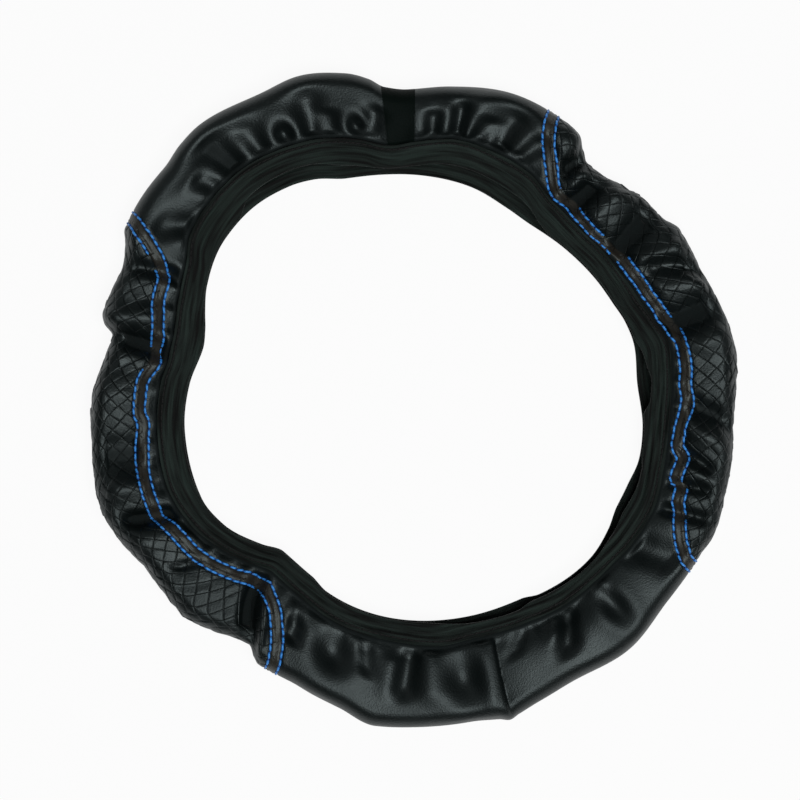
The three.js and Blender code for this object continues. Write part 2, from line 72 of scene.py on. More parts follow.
frontEdge = [
    (4.4, 2.4), (12, 4), (18.3, -0.2), (25, -4.5), (36.8, -6.8), (45, -8.7), (55, -6.4), (62.5, 0),
    (71.6, 3.5), (80.5, 5.4), (88.8, 2.7), (94.5, 0.8), (97, 1.8), (102, 7), (112.4, 14.5), (127, 18.7),
    (137.9, 16.3), (144.3, 12.8), (148.6, 6.9), (158, 0.4), (166, -3), (170, -3), (175.7, -0.4), (187, 2.5),
    (199.3, 4.3), (209.2, 0.9), (217.8, -5.9), (224.2, -12.1), (230.6, -17.5), (238.1, -15.7),
    (252.9, -9.4), (265.9, -6.4), (277.3, -3.8), (283, -4.7), (295.8, -2.8), (308.6, 0.5), (319.4, 1.6),
    (326.5, 4), (335.5, 5.1), (344.2, 2.8), (355.5, 1.2),
]
holeEdge = [
    (5, -1), (14.6, 0.7), (20.3, -0.3), (26.1, -2.6), (32.9, -4.1), (44.7, -6.7), (56.8, -8.5),
    (63.8, -7.1), (75.3, -2.9), (88.7, -0.5), (98, 1), (107, 3.3), (114.3, 9.1), (120.4, 12.1), (130, 14),
    (139.6, 12.5), (151.2, 5.8), (157, 0.5), (161.5, -3.3), (165.8, -5), (176.1, -0.5), (187.3, 2.9),
    (204.7, 4.5), (212.9, 1), (223.2, -8.9), (229.3, -14.7), (239.8, -12.6), (245.6, -8.6), (263.8, -3.8),
    (284.7, -1.5), (298.4, 0), (303, 3), (318.4, 6.2), (326.1, 4.4), (332.6, 1.9), (338.2, 2.3), (345, 3.9),
    (352.7, 2.7),
]
# How far the back band shows beyond the front one
bandPeek = [
    (-4, 0), (0, 5), (5, 7), (8.6, 5), (12, 3), (16, 0), (50, 0), (54, 2), (59, 6.5), (64, 8), (80, 8),
    (84, 7), (89, 4.5), (96, 2.5), (106, 6.5), (112, 8), (119, 7.4), (129, 5.3), (134, 0), (271, 0),
    (284, 3), (296, 4.4), (303, 1), (321, 1.5), (332, 3.7), (338, 4.4), (343, 2.4), (347, 0),
]
# How far the grips' front seam runs outside the front elastic
stripReach = [
    (-21, 11.2), (-18.5, 11.4), (-16.9, 7.3), (-12.4, 9.1), (-9.5, 5.2), (-6.2, 6.1), (0, 8.6), (3.3, 7.2),
    (6.3, 7.7), (12, 6.4), (16.5, 4), (23, 5.4), (31, 4.7), (40, 2.4), (46, 3.4), (51, 3), (56.5, 5),
    (64, 8), (147, 9), (154, 10), (158.6, 11), (165, 8.8), (169, 5.8), (171.6, 6.5), (177, 10.3),
    (182.5, 9.8), (185, 7.4), (191, 8.8), (197.6, 10.9), (203.4, 11.1), (210, 9.3), (217, 10.4),
    (224, 9.7), (230.2, 8.1), (241, 9), (330, 10),
]

# Seams between the grips and the smooth panels: angle at the outer fold, at the corner, sharpness of turn
seams = {
    "rightLower": (-30.8, -21, 3.6),
    "rightUpper": (64, 56.5, 4.5),
    "leftUpper": (147.3, 154, 3.2),
    "leftLower": (242.1, 231.5, 4.6),
}
# The seams at the two ends of each grip
gripEnds = {"left": ("leftUpper", "leftLower"), "right": ("rightLower", "rightUpper")}
insert = (89.8, 96)  # angles of the dull joining strip

# Folds: angle at the elastic, angle at the outer fold, sideways bow in degrees, start and end as shares of
# the way out, half width at the elastic, half width at the outer fold, rise
folds = [
    (99.9, 95.4, 0, 0.08, 0.59, 3.8, 7.8, -1.8),
    (107.1, 106.1, 0, 0, 0.42, 4.4, 10.4, -1.8), (110.9, 108.9, 0, 0.01, 0.8, 4.4, 11.7, -2.5),
    (121.2, 123.6, 0, 0.01, 0.7, 5, 11.7, -2.3),
    (123.7, 123.8, 0, 0.05, 0.69, 6.2, 9.1, 1.4), (127.2, 130, 0, 0, 0.8, 6.2, 15.6, -3.6),
    (132.8, 137.3, 0, 0, 0.45, 5, 9.1, -1.6), (135.6, 138, 0, 0.04, 0.58, 6.2, 10.4, 1.1),
    (141.4, 150.6, 0, 0.01, 0.62, 6.2, 13, -2.2),
    (144.7, 152.5, 0, 0, 0.39, 5, 5.2, 1.4), (88.1, 88.1, 0, 0.1, 0.7, 5, 7, 1.5),
    (86, 86.3, 0, 0.02, 0.55, 3.8, 7.8, -1.6), (83.3, 83.4, 0, 0.05, 0.7, 5, 7, 1.6),
    (80.6, 80.5, 0, 0.01, 0.72, 3, 7, -2.6), (78.7, 74.8, 1.2, 0.02, 0.95, 3.1, 13, 2.7),
    (76.4, 71.5, 0, 0.03, 0.5, 5, 11.7, -1.7), (71.2, 69, 0, 0.02, 0.8, 4.4, 11.7, -3.2),
    (69.4, 65.2, 0, 0.1, 0.85, 6.2, 13, 2.5), (66.6, 60.5, 0, 0.03, 0.6, 4.4, 7.8, -2),
    (64.7, 57.5, 0, 0.03, 0.3, 3.8, 3.9, 1.1), (62, 59.2, 0, 0.56, 0.99, 7, 7, 2.5),
    (57.9, 55.1, 0, 0.42, 0.98, 3.5, 3.5, -4), (53.7, 52.2, 0, 0.42, 0.9, 5, 5, 1.5),
    (50.8, 49.7, 0, 0.01, 0.89, 5, 6, -5), (44.9, 45.3, 0, 0.21, 0.93, 7, 7, 3),
    (36.2, 38.6, 0, 0.1, 0.98, 5, 9, -5), (30.6, 29.3, 0.9, 0.26, 1, 5, 7, 3.6),
    (29.6, 23.9, 2, 0.29, 1, 4.5, 5.5, -2.6), (26.4, 21.2, 0, 0.28, 0.97, 7, 7, 2),
    (16.3, 17.4, 0, 0.07, 0.96, 8, 8, -5), (11.7, 11.5, 0, 0.17, 1, 9, 9, 3),
    (360.5, 355.6, 0, 0.31, 1, 6, 6, -3.5), (356.1, 350.1, 0, 0.24, 0.99, 6, 6, 2.5),
    (350, 345.5, 0, 0.22, 0.72, 4, 4, -2.5), (346.9, 344.2, 0, 0.24, 0.8, 4, 4, 1.5),
    (342, 343.2, 0, 0.1, 0.79, 2.5, 3.5, -2.2), (336.3, 338.2, 0, 0.1, 0.91, 3, 4, -3),
    (326.3, 329.9, 0, 0.02, 0.8, 7.5, 11.7, -2.5), (303.4, 296.1, 0, 0.02, 0.38, 5, 5.2, 1.8),
    (306.5, 298.1, 0, 0.1, 0.64, 5, 7.8, -2.5), (295.7, 282.7, 0, 0.09, 0.33, 5, 6.5, -1.4),
    (286.2, 285, -0.5, 0.01, 0.98, 6.2, 5.2, 1.4), (288.8, 287.2, -0.4, 0.03, 0.98, 1.6, 1.6, -1.5),
    (273.2, 272.9, 0, 0.06, 0.74, 7.5, 7.8, 2.2), (269.5, 266.8, 0, 0.07, 0.67, 5, 7.8, -2.2),
    (265.5, 264.3, 0, 0.16, 0.68, 6.2, 6.5, 1.4), (258.8, 261.6, 0, 0.1, 0.44, 3.8, 7.8, -1.4),
    (241.3, 243.9, 0, 0.23, 0.53, 5, 6.5, -2.2), (238.9, 242, 0, 0.13, 0.4, 3, 3, 1.5),
    (146.3, 150.1, 0, 0.39, 0.93, 7.5, 7.8, 1.8), (151.9, 155.3, 0, 0.1, 0.97, 3.5, 4.5, -3),
    (161.2, 165.3, 0, 0.23, 0.99, 7, 7, 4), (169, 167.6, 0, 0.04, 1, 5, 5, -5),
    (178.2, 178.6, 0, 0.3, 0.98, 12, 12, 3), (191.2, 189.8, 0, 0.29, 0.91, 11, 11, -3.5),
    (198.4, 196, 0, 0.23, 0.84, 7, 7, 4), (205.6, 202, 0, 0.04, 0.81, 4, 4.5, -5.5),
    (210.4, 207, 0, 0.07, 0.88, 8, 8, 2.5), (218.6, 213.3, 0, 0.33, 0.64, 3, 3, -1.5),
    (229, 236.5, -1.4, 0.1, 0.98, 3.5, 5, -5.5), (230.6, 239.1, 0, 0.34, 0.92, 4, 4, 2.5),
]
# Round hollows: angle, share of the way out, half length round the ring, half length outwards, rise
hollows = [
    (102, 0.17, 6, 8, -2.4), (116, 0.2, 6.5, 8.5, -2.2), (314.2, 0.42, 8, 14, -1.9),
    (304, 0.02, 34, 15, -1.7), (280.3, 0.45, 12, 16, -2.4), (252.3, 0.36, 14, 14, -2.8),
    (315.5, 0.06, 4, 5, 1.5),
]
foldForm = {
    "hollowScale": 1.7,  # on the rise of each fold below the surface
    "creaseWidth": 2,  # mm, below which a fold is a sharp crease
    "creaseSides": (4, 0.5),  # lengths of a crease's slow and fast side, in its widths
    "startEase": 0.1,  # shares of the way out, also the following ones
    "endEase": (0.3, 0.08),  # before the fold's end, in shares of the fold, and after it
    "hollowStart": (-0.05, 0.1),
    "ridgeStart": (0, 0.12),
    "fadeOut": (0.92, 1),
    "rim": 1.4,
}
gathers = {
    "depth": 2.2,
    "reach": 7,
    "fade": 6,
    "count": 66,
    "wander": ((2, 5, 0),),  # sines that shift the waves: radians, number round the ring, start
    "fineDepth": 0.6,
    "fineReach": 5,
    "fineCount": 109,
    "fineWander": ((3, 7, 0), (2, 11, 1)),
    "start": (-1.2, 1.0),  # mm from the elastic's edge over which they grow
    "onSmooth": 0.4,  # share of their depth on the smooth panels, where the folds take up the cloth
    "stripEnds": (-6, 2),  # degrees over which they grow to full depth on the strips
}


def lerp(start, end, share):
    return start + (end - start) * share


def smoothstep(value, low, high):
    t = np.clip((value - low) / (high - low), 0, 1)
    return t * t * (3 - 2 * t)


# The first angle less the second, between -180 and 180 degrees.
def angleBetween(first, second):
    return (first - second + 180) % 360 - 180


# A sum of sines round the ring.
def wander(turn, waves):
    return sum(size * np.sin(count * turn + start) for size, count, start in waves)


# A closed curve through (angle, value) points: cubic between neighbours, with the harmonic mean of their
# slopes as the tangent, and a level tangent at peaks, so that it never overshoots.
def closedCurve(points):
    angles, values = np.array(sorted((angle % 360, value) for angle, value in points)).T
    spans = (np.roll(angles, -1) - angles) % 360
    slopes = (np.roll(values, -1) - values) / spans
    falling = np.roll(slopes, 1)
    same = falling * slopes > 0
    tangents = np.where(same, 2 * falling * slopes / np.where(same, falling + slopes, 1), 0)

    def curve(angle):
        turn = np.asarray(angle, float) % 360
        i = (np.searchsorted(angles, turn, side="right") - 1) % len(angles)
        j = (i + 1) % len(angles)
        t = ((turn - angles[i]) % 360) / spans[i]
        plain = values[i] * (1 + 2 * t) * (1 - t) ** 2 + values[j] * t * t * (3 - 2 * t)
        return plain + spans[i] * (tangents[i] * t * (1 - t) ** 2 - tangents[j] * t * t * (1 - t))

    return curve


outerCurve, frontCurve, holeCurve = closedCurve(outerEdge), closedCurve(frontEdge), closedCurve(holeEdge)
peekCurve, reachCurve = closedCurve(bandPeek), closedCurve(stripReach)


def outerRadius(angle):
    return ring["seamRadius"] + ring["leatherWidth"] + outerCurve(angle)


def frontRadius(angle):
    return ring["seamRadius"] + frontCurve(angle)


def holeRadius(angle):
    return ring["seamRadius"] - ring["elasticWidth"] + holeCurve(angle)


def backRadius(angle):
    return holeRadius(angle) + ring["elasticWidth"]


# Radius and height of the plain section, across from the front edge at 0 over the outer fold at 0.5 to the
# back edge at 1: each half is a flank, straight in radius and eased in height, then a quarter of an oval.
def sectionPoint(angle, across):
    turning = outerRadius(angle) - ring["foldDepth"]
    middle = ring["sectionHeight"] / 2
    front = across <= 0.5
    start = np.where(front, frontRadius(angle), backRadius(angle)) - ring["lap"]
    along = 2 * np.where(front, across, 1 - across)
    swing = np.clip((along - ring["flankShare"]) / (1 - ring["flankShare"]), 0, 1) * math.pi / 2
    flank = np.minimum(along / ring["flankShare"], 1)
    radius = lerp(start, turning, flank) + ring["foldDepth"] * np.sin(swing)
    rise = np.where(flank < ring["backRise"], 0.5 + 0.5 * np.cos(math.pi * flank / ring["backRise"]), 0)
    frontHeight = lerp(ring["sectionHeight"], ring["frontLip"], (1 - flank) ** 2)
    backHeight = ring["backLip"] * rise
    lift = middle * np.cos(swing)
    flankHeight = np.where(front, frontHeight, backHeight)
    foldHeight = np.where(front, middle + lift, middle - lift)
    return radius, np.where(along > ring["flankShare"], foldHeight, flankHeight)


def acrossAtRadius(angle, radius):
    start = frontRadius(angle) - ring["lap"]
    flank = (radius - start) / (outerRadius(angle) - ring["foldDepth"] - start)
    return np.clip(flank, 0.05, 0.95) * ring["flankShare"] / 2


# Carries a place on the flat pattern to its place on the section, so the grips' front seam wanders.
def relaxedAcross(angle, place):
    corner = ring["cornerAcross"]
    seamAt = acrossAtRadius(angle, frontRadius(angle) + reachCurve(angle))
    near = place / corner * seamAt
    far = lerp(seamAt, 0.5, (place - corner) / (0.5 - corner))
    return np.where(place >= 0.5, place, np.where(place < corner, near, far))


# The gathers' wave round the ring: a sine whose phase wanders.
def gatherWave(turn):
    return np.sin(gathers["count"] * turn + wander(turn, gathers["wander"]))


# Height of the gathers: coarse and fine waves that die exponentially away from the elastic's edge, at full
# depth on the strips beside the grips.
def gatherHeight(angle, reach):
    turn = np.radians(angle)
    onStrip = np.zeros_like(turn)
    for first, last in gripEnds.values():
        fromStart = smoothstep(angleBetween(angle, seams[first][1]), *gathers["stripEnds"])
        toEnd = smoothstep(angleBetween(seams[last][1], angle), *gathers["stripEnds"])
        onStrip = np.maximum(onStrip, fromStart * toEnd)
    window = 1 - smoothstep(reach, gathers["reach"], gathers["reach"] + gathers["fade"])
    window = window * smoothstep(reach, *gathers["start"]) * lerp(gathers["onSmooth"], 1, onStrip)
    out = np.maximum(reach, 0)
    coarse = 0.5 + 0.5 * gatherWave(turn)
    fine = 0.5 + 0.5 * np.sin(gathers["fineCount"] * turn + wander(turn, gathers["fineWander"]))
    depth = gathers["depth"] * coarse * np.exp(-out / gathers["reach"])
    return -window * (depth + gathers["fineDepth"] * fine * np.exp(-out / gathers["fineReach"]))


def foldRise(rise):
    return rise * (foldForm["hollowScale"] if rise < 0 else 1)


# Height of the folds. Each is a bell curve of the distance from its line, wider outwards, or a crease that
# falls off exponentially from a sharp tip. Each hollow is a bell curve both ways with a low rim round it. All
# begin beside the elastic and run out on the outer fold.
def foldHeight(angle, radius, share, wayOut):
    before, after = foldForm["endEase"]
    bulk = np.zeros_like(radius)
    for innerAngle, outerAngle, bow, first, last, innerWidth, outerWidth, rise in folds:
        line = lerp(innerAngle, outerAngle, share) + 4 * bow * share * (1 - share)
        away = np.radians(angleBetween(angle, line)) * radius
        width = lerp(innerWidth, outerWidth, np.clip(share, 0, 1))
        window = smoothstep(share, max(first - foldForm["startEase"], 0), first + foldForm["startEase"])
        window = window * (1 - smoothstep(share, lerp(last, first, before), last + after))
        if outerWidth < foldForm["creaseWidth"]:
            bell = np.exp(-np.abs(away) / width / np.where(away > 0, *foldForm["creaseSides"]))
        else:
            bell = np.exp(-((away / width) ** 2))
        bulk = bulk + foldRise(rise) * bell * window
    for middle, place, halfRound, halfOut, rise in hollows:
        away = np.radians(angleBetween(angle, middle)) * radius / halfRound
        square = away**2 + ((share - place) * wayOut / halfOut) ** 2
        rim = 1 - foldForm["rim"] * square if rise < 0 else 1
        bulk = bulk + foldRise(rise) * rim * np.exp(-square)
    below = np.minimum(bulk, 0) * smoothstep(share, *foldForm["hollowStart"])
    above = np.maximum(bulk, 0) * smoothstep(share, *foldForm["ridgeStart"])
    return (below + above) * (1 - smoothstep(share, *foldForm["fadeOut"]))


# Rise of the leathercloth under an elastic, so that it lies close to the band
lapForm = {
    "front": 0.1,  # mm for each mm inwards
    "back": 0.21,
    "backEdge": 0.45,  # mm at the back elastic's edge
    "edgeEase": 3,  # mm outside that edge over which it grows
}


# Height of the leathercloth over the plain section, where share is 0 at the elastic's edge and 1 at the
# outer fold: gathers and lap on both layers, folds on the front one.
def reliefAt(angle, across):
    radius, _ = sectionPoint(angle, across)
    front = across <= 0.5
    edge = np.where(front, frontRadius(angle), backRadius(angle))
    reach, wayOut = radius - edge, outerRadius(angle) - edge
    under = np.maximum(-reach, 0)
    backLap = lapForm["back"] * under + lapForm["backEdge"] * smoothstep(-reach, -lapForm["edgeEase"], 0)
    lap = np.where(front, lapForm["front"] * under, backLap)
    bulk = foldHeight(angle, radius, reach / wayOut, wayOut)
    return gatherHeight(angle, reach) + lap + np.where(front, bulk, 0)


# A point that stands proud of the plain section along the section's own normal, taken by differences.
def pointOver(angle, across, proud):
    step = 0.002
    radius, height = sectionPoint(angle, across)
    beforeRadius, beforeHeight = sectionPoint(angle, np.maximum(across - step, 0))
    afterRadius, afterHeight = sectionPoint(angle, np.minimum(across + step, 1))
    slopeRadius, slopeHeight = afterRadius - beforeRadius, afterHeight - beforeHeight
    length = np.hypot(slopeRadius, slopeHeight)
    outRadius = radius - slopeHeight / length * proud
    turn = np.radians(angle)
    return np.stack(
        [outRadius * np.cos(turn), outRadius * np.sin(turn), height + slopeRadius / length * proud], axis=-1
    )


def seamAngle(seam, place):
    fold, corner, turn = seam
    inner = ring["cornerAcross"]
    along = np.clip((np.minimum(place, 1 - place) - inner) / (0.5 - inner), 0, 1)
    return lerp(fold, corner, (1 - along) ** turn)


# Angle by which an end draws back from its seam, so that half the gap stays on its side.
def endPull(endAngle, place, radius):
    step = 0.01
    lean = np.radians(endAngle(place + step) - endAngle(place - step)) * radius
    lean = lean / (2 * step * ring["wrapLength"])
    return np.degrees(ring["gap"] / 2 / radius * np.hypot(1, lean))


def hexColour(code):
    channels = [int(code[i : i + 2], 16) / 255 for i in (1, 3, 5)]
    return [c / 12.92 if c <= 0.04045 else ((c + 0.055) / 1.055) ** 2.4 for c in channels] + [1]


# Adds a node with its settings. Sockets go by name, or by number in a list. A value that is another node or
# its output becomes a link.
def addNode(tree, kind, sockets=(), **settings):
    node = tree.nodes.new("ShaderNode" + kind)
    for name, value in settings.items():
        setattr(node, name, value)
    for name, value in sockets.items() if isinstance(sockets, dict) else enumerate(sockets):
        if isinstance(value, bpy.types.Node):
            value = value.outputs[0]
        if isinstance(value, bpy.types.NodeSocket):
            tree.links.new(value, node.inputs[name])
        else:
            node.inputs[name].default_value = value
    return node


def newMaterial(name):
    material = bpy.data.materials.new(name)
    material.use_nodes = True
    material.node_tree.nodes.clear()
    return material, material.node_tree


leatherFinish = {
    "colour": "#040808",
    "lightColour": "#070d0d",
    "dullColour": "#050a08",
    "dullLightColour": "#0a120f",
    "sheenTint": "#e2f3f4",
    "blotchScale": 38.0,  # per metre, of the lighter places, which are the rougher ones too
    "ior": 1.5,
    "dullIor": 1.16,
    "roughness": (0.42, 0.52),
    "dullRougher": 0.15,
    "grain": 0.9,  # mm across one grain, about twice the real one, so that it shows
    "grainHeight": 0.06,  # mm
    "channelColour": "#37322b",
    "channelEdge": (2.3, 3.3),  # mm from the seam, where the channel between the stitch rows ends
    "channelShare": 0.6,
    "cell": 6.1,  # mm, side of an embossed cell
    "groove": 0.8,  # mm
    "grooveDepth": 0.22,  # mm
    # painted shade in the grid's grooves: the colour it mixes in, and how much
    "grooveShadeColour": "#070909",
    "grooveShadeShare": 0.7,
}


# PU leathercloth: polyurethane skin rolled on a knitted base, smooth or with a rolled diamond grid. The skin
# gives a soft satin gloss with a faint pebble. It is dull at the bottom of a pinched fold and where it is
# tucked under the elastic. The grid's grooves carry painted shade: a darker colour is mixed into them.
def makeLeather(name, embossed=False, dull=False):
    material, tree = newMaterial(name)
    place = addNode(tree, "TexCoord").outputs["Object"]
    blotches = addNode(
        tree, "TexNoise", {"Vector": place, "Scale": leatherFinish["blotchScale"], "Detail": 3.0}
    ).outputs["Fac"]
    dark, light = ("dullColour", "dullLightColour") if dull else ("colour", "lightColour")
    colour = addNode(
        tree, "Mix", {0: blotches, 6: hexColour(leatherFinish[dark]), 7: hexColour(leatherFinish[light])},
        data_type="RGBA",
    ).outputs[2]
    distance = addNode(tree, "Attribute", attribute_name="seamDistance").outputs["Fac"]
    near, far = leatherFinish["channelEdge"]
    channel = addNode(tree, "MapRange", {
        "Value": distance, "From Min": near, "From Max": far, "To Min": leatherFinish["channelShare"],
        "To Max": 0.0,
    })
    colour = addNode(
        tree, "Mix", {0: channel, 6: colour, 7: hexColour(leatherFinish["channelColour"])}, data_type="RGBA"
    ).outputs[2]
    low, high = leatherFinish["roughness"]
    rougher = leatherFinish["dullRougher"] if dull else 0
    roughness = addNode(tree, "MapRange", {
        "Value": blotches, "From Min": 0.3, "From Max": 0.7, "To Min": low + rougher,
        "To Max": high + rougher,
    })
    pinch = addNode(tree, "Attribute", attribute_name="pinch").outputs["Fac"]
    roughness = addNode(tree, "Math", [roughness, pinch], operation="MAXIMUM")
    grain = addNode(
        tree, "TexVoronoi", {"Vector": place, "Scale": 1000 / leatherFinish["grain"], "Smoothness": 0.6},
        feature="SMOOTH_F1",
    ).outputs["Distance"]
    grainHeight = 2 * leatherFinish["grainHeight"] * leatherFinish["grain"]
    height = addNode(tree, "Math", [grain, grainHeight], operation="MULTIPLY")
    if embossed:
        pattern = addNode(tree, "UVMap", uv_map="pattern")
        split = addNode(tree, "SeparateXYZ", [pattern])
        lines = []
        for sign in (1, -1):
            swapped = addNode(tree, "Math", [split.outputs["Y"], sign], operation="MULTIPLY")
            summed = addNode(tree, "Math", [split.outputs["X"], swapped], operation="ADD")
            cells = addNode(
                tree, "Math", [summed, 1 / (math.sqrt(2) * leatherFinish["cell"])], operation="MULTIPLY"
            )
            part = addNode(tree, "Math", [cells], operation="FRACT")
            centred = addNode(tree, "Math", [part, 0.5], operation="SUBTRACT")
            lines.append(addNode(tree, "Math", [centred], operation="ABSOLUTE"))
        nearest = addNode(tree, "Math", lines, operation="MAXIMUM")
        half = leatherFinish["groove"] / 2 / leatherFinish["cell"]
        groove = addNode(
            tree, "MapRange", {"Value": nearest, "From Min": 0.5 - half, "From Max": 0.5},
            interpolation_type="SMOOTHSTEP",
        )
        # painted shade: the grooves' colour is mixed towards a darker one, standing in for the shade inside
        # them
        shade = addNode(tree, "Math", [groove, leatherFinish["grooveShadeShare"]], operation="MULTIPLY")
        colour = addNode(
            tree, "Mix", {0: shade, 6: colour, 7: hexColour(leatherFinish["grooveShadeColour"])}, data_type="RGBA"
        ).outputs[2]
        sunk = addNode(tree, "Math", [groove, -leatherFinish["grooveDepth"]], operation="MULTIPLY")
        height = addNode(tree, "Math", [height, sunk], operation="ADD")
    bump = addNode(tree, "Bump", {"Height": height, "Strength": 1.0, "Distance": 0.001})
    shader = addNode(tree, "BsdfPrincipled", {
        "Base Color": colour, "Roughness": roughness, "Normal": bump,
        "IOR": leatherFinish["dullIor"] if dull else leatherFinish["ior"],
        "Specular Tint": hexColour(leatherFinish["sheenTint"]),
    })
    addNode(tree, "OutputMaterial", {"Surface": shader})
    return material


backingFinish = {
    "darkColour": "#1b1c1c",
    "lightColour": "#2c2d2c",
    "loopScale": 0.35,  # per mm
    "loopHeight": 0.0004,  # metres
    "roughness": 0.95,
}


# The leathercloth's knitted backing, seen inside the channel: a matt dark grey cloth of small loops.
def makeBacking():
    material, tree = newMaterial("knittedPolyesterBacking")
    pattern = addNode(tree, "UVMap", uv_map="pattern")
    rows = {"Vector": pattern, "Scale": backingFinish["loopScale"], "Distortion": 2.0, "Detail": 1.0}
    wave = addNode(tree, "TexWave", rows).outputs["Fac"]
    dark, light = hexColour(backingFinish["darkColour"]), hexColour(backingFinish["lightColour"])
    colour = addNode(tree, "Mix", {0: wave, 6: dark, 7: light}, data_type="RGBA").outputs[2]
    bump = addNode(tree, "Bump", {"Height": wave, "Strength": 0.6, "Distance": backingFinish["loopHeight"]})
    shader = addNode(tree, "BsdfPrincipled", {
        "Base Color": colour, "Roughness": backingFinish["roughness"], "Normal": bump,
    })
    addNode(tree, "OutputMaterial", {"Surface": shader})
    return material


webbingFinish = {
    # the dark colour is painted shade between the streaks, the light one a painted highlight on their crests
    "darkColour": "#020403",
    "lightColour": "#232f2b",
    "radius": 135,  # mm, of the band's middle, which turns the streaks' length into an angle
    "streakLength": 30,  # mm
    "streakWidth": 1.7,  # mm
    "streakRange": (0.36, 0.68),
    "crossThreads": 942,  # round the ring
    "crossShare": 0.12,  # of the streaks' height
    "height": 0.0004,  # metres
    "roughness": 0.8,
    "shine": 0.25,
}


# Woven elastic: black polyester round rubber threads. Relaxed, it shrinks into long uneven streaks under fine
# cross threads, with hardly any shine. Its colour carries painted light: a painted highlight on the streaks'
# crests and painted shade, near black, between them.
def makeWebbing():
    material, tree = newMaterial("wovenElasticWebbing")
    place = addNode(tree, "TexCoord").outputs["Object"]
    flat = addNode(tree, "VectorMath", [place, (1.0, 1.0, 0.0)], operation="MULTIPLY")
    outward = addNode(tree, "VectorMath", [flat], operation="NORMALIZE")
    turns = webbingFinish["radius"] / webbingFinish["streakLength"]
    circle = addNode(tree, "VectorMath", {0: outward, "Scale": turns}, operation="SCALE")
    pattern = addNode(tree, "SeparateXYZ", [addNode(tree, "UVMap", uv_map="pattern")])
    perStreak = 1 / webbingFinish["streakWidth"]
    level = addNode(tree, "Math", [pattern.outputs["Y"], perStreak], operation="MULTIPLY")
    raised = addNode(tree, "CombineXYZ", {"Z": level})
    spot = addNode(tree, "VectorMath", [circle, raised], operation="ADD")
    streaks = addNode(tree, "TexNoise", {"Vector": spot, "Scale": 1.0, "Detail": 3.0}).outputs["Fac"]
    low, high = webbingFinish["streakRange"]
    shade = addNode(tree, "MapRange", {"Value": streaks, "From Min": low, "From Max": high})
    sides = addNode(tree, "SeparateXYZ", [place])
    turn = addNode(tree, "Math", [sides.outputs["Y"], sides.outputs["X"]], operation="ARCTAN2")
    phase = addNode(tree, "Math", [turn, webbingFinish["crossThreads"]], operation="MULTIPLY")
    cross = addNode(tree, "Math", [phase], operation="SINE")
    small = addNode(tree, "Math", [cross, webbingFinish["crossShare"]], operation="MULTIPLY")
    height = addNode(tree, "Math", [shade, small], operation="ADD")
    bump = addNode(tree, "Bump", {"Height": height, "Strength": 1.0, "Distance": webbingFinish["height"]})
    # painted light: the streak map that raises the bump also lightens the crests and blackens the hollows
    dark, light = hexColour(webbingFinish["darkColour"]), hexColour(webbingFinish["lightColour"])
    colour = addNode(tree, "Mix", {0: shade, 6: dark, 7: light}, data_type="RGBA").outputs[2]
    shader = addNode(tree, "BsdfPrincipled", {
        "Base Color": colour, "Roughness": webbingFinish["roughness"], "Normal": bump,
        "Specular IOR Level": webbingFinish["shine"],
    })
    addNode(tree, "OutputMaterial", {"Surface": shader})
    return material


threadFinish = {
    # the second colour of each thread is painted shade at a stitch's ends, where it dives into its holes
    "blue": ("#3e9af4", "#0c3f8e", 0.4),  # colour, colour at a stitch's ends, roughness
    "black": ("#060707", "#020303", 0.8),
    "twists": 1.5,  # in half a stitch
    "endShade": (0.38, 0.95),  # where a stitch turns dark, from its middle at 0 to its end at 1
    "plyHeight": 0.00015,  # metres
}


# Twisted polyester thread: two plies seen as slanting bumps, with a silky shine. Towards each stitch's ends
# its colour is mixed towards a darker one, painted shade where the thread dives into its holes.
def makeThread(name, kind):
    colour, endShadeColour, roughness = threadFinish[kind]
    material, tree = newMaterial(name)
    pattern = addNode(tree, "SeparateXYZ", [addNode(tree, "UVMap", uv_map="pattern")])
    turns = addNode(tree, "Math", [pattern.outputs["X"], threadFinish["twists"]], operation="MULTIPLY")
    slant = addNode(tree, "Math", [turns, pattern.outputs["Y"]], operation="ADD")
    phase = addNode(tree, "Math", [slant, 2 * math.pi], operation="MULTIPLY")
    plies = addNode(tree, "Math", [phase], operation="SINE")
    fromMiddle = addNode(tree, "Math", [pattern.outputs["X"]], operation="ABSOLUTE")
    low, high = threadFinish["endShade"]
    share = addNode(tree, "MapRange", {"Value": fromMiddle, "From Min": low, "From Max": high})
    # painted shade: the colour darkens from the stitch's middle towards its ends
    mixed = addNode(
        tree, "Mix", {0: share, 6: hexColour(colour), 7: hexColour(endShadeColour)}, data_type="RGBA"
    ).outputs[2]
    bump = addNode(tree, "Bump", {"Height": plies, "Strength": 0.5, "Distance": threadFinish["plyHeight"]})
    shader = addNode(tree, "BsdfPrincipled", {"Base Color": mixed, "Roughness": roughness, "Normal": bump})
    addNode(tree, "OutputMaterial", {"Surface": shader})
    return material


smoothLeather = makeLeather("smoothPuLeathercloth")
gridLeather = makeLeather("gridEmbossedPuLeathercloth", embossed=True)
dullLeather = makeLeather("dullPuLeathercloth", dull=True)
backing = makeBacking()
webbing = makeWebbing()
blueThread = makeThread("blueTwistedPolyesterThread", "blue")
blackThread = makeThread("blackTwistedPolyesterThread", "black")
print("materials made")


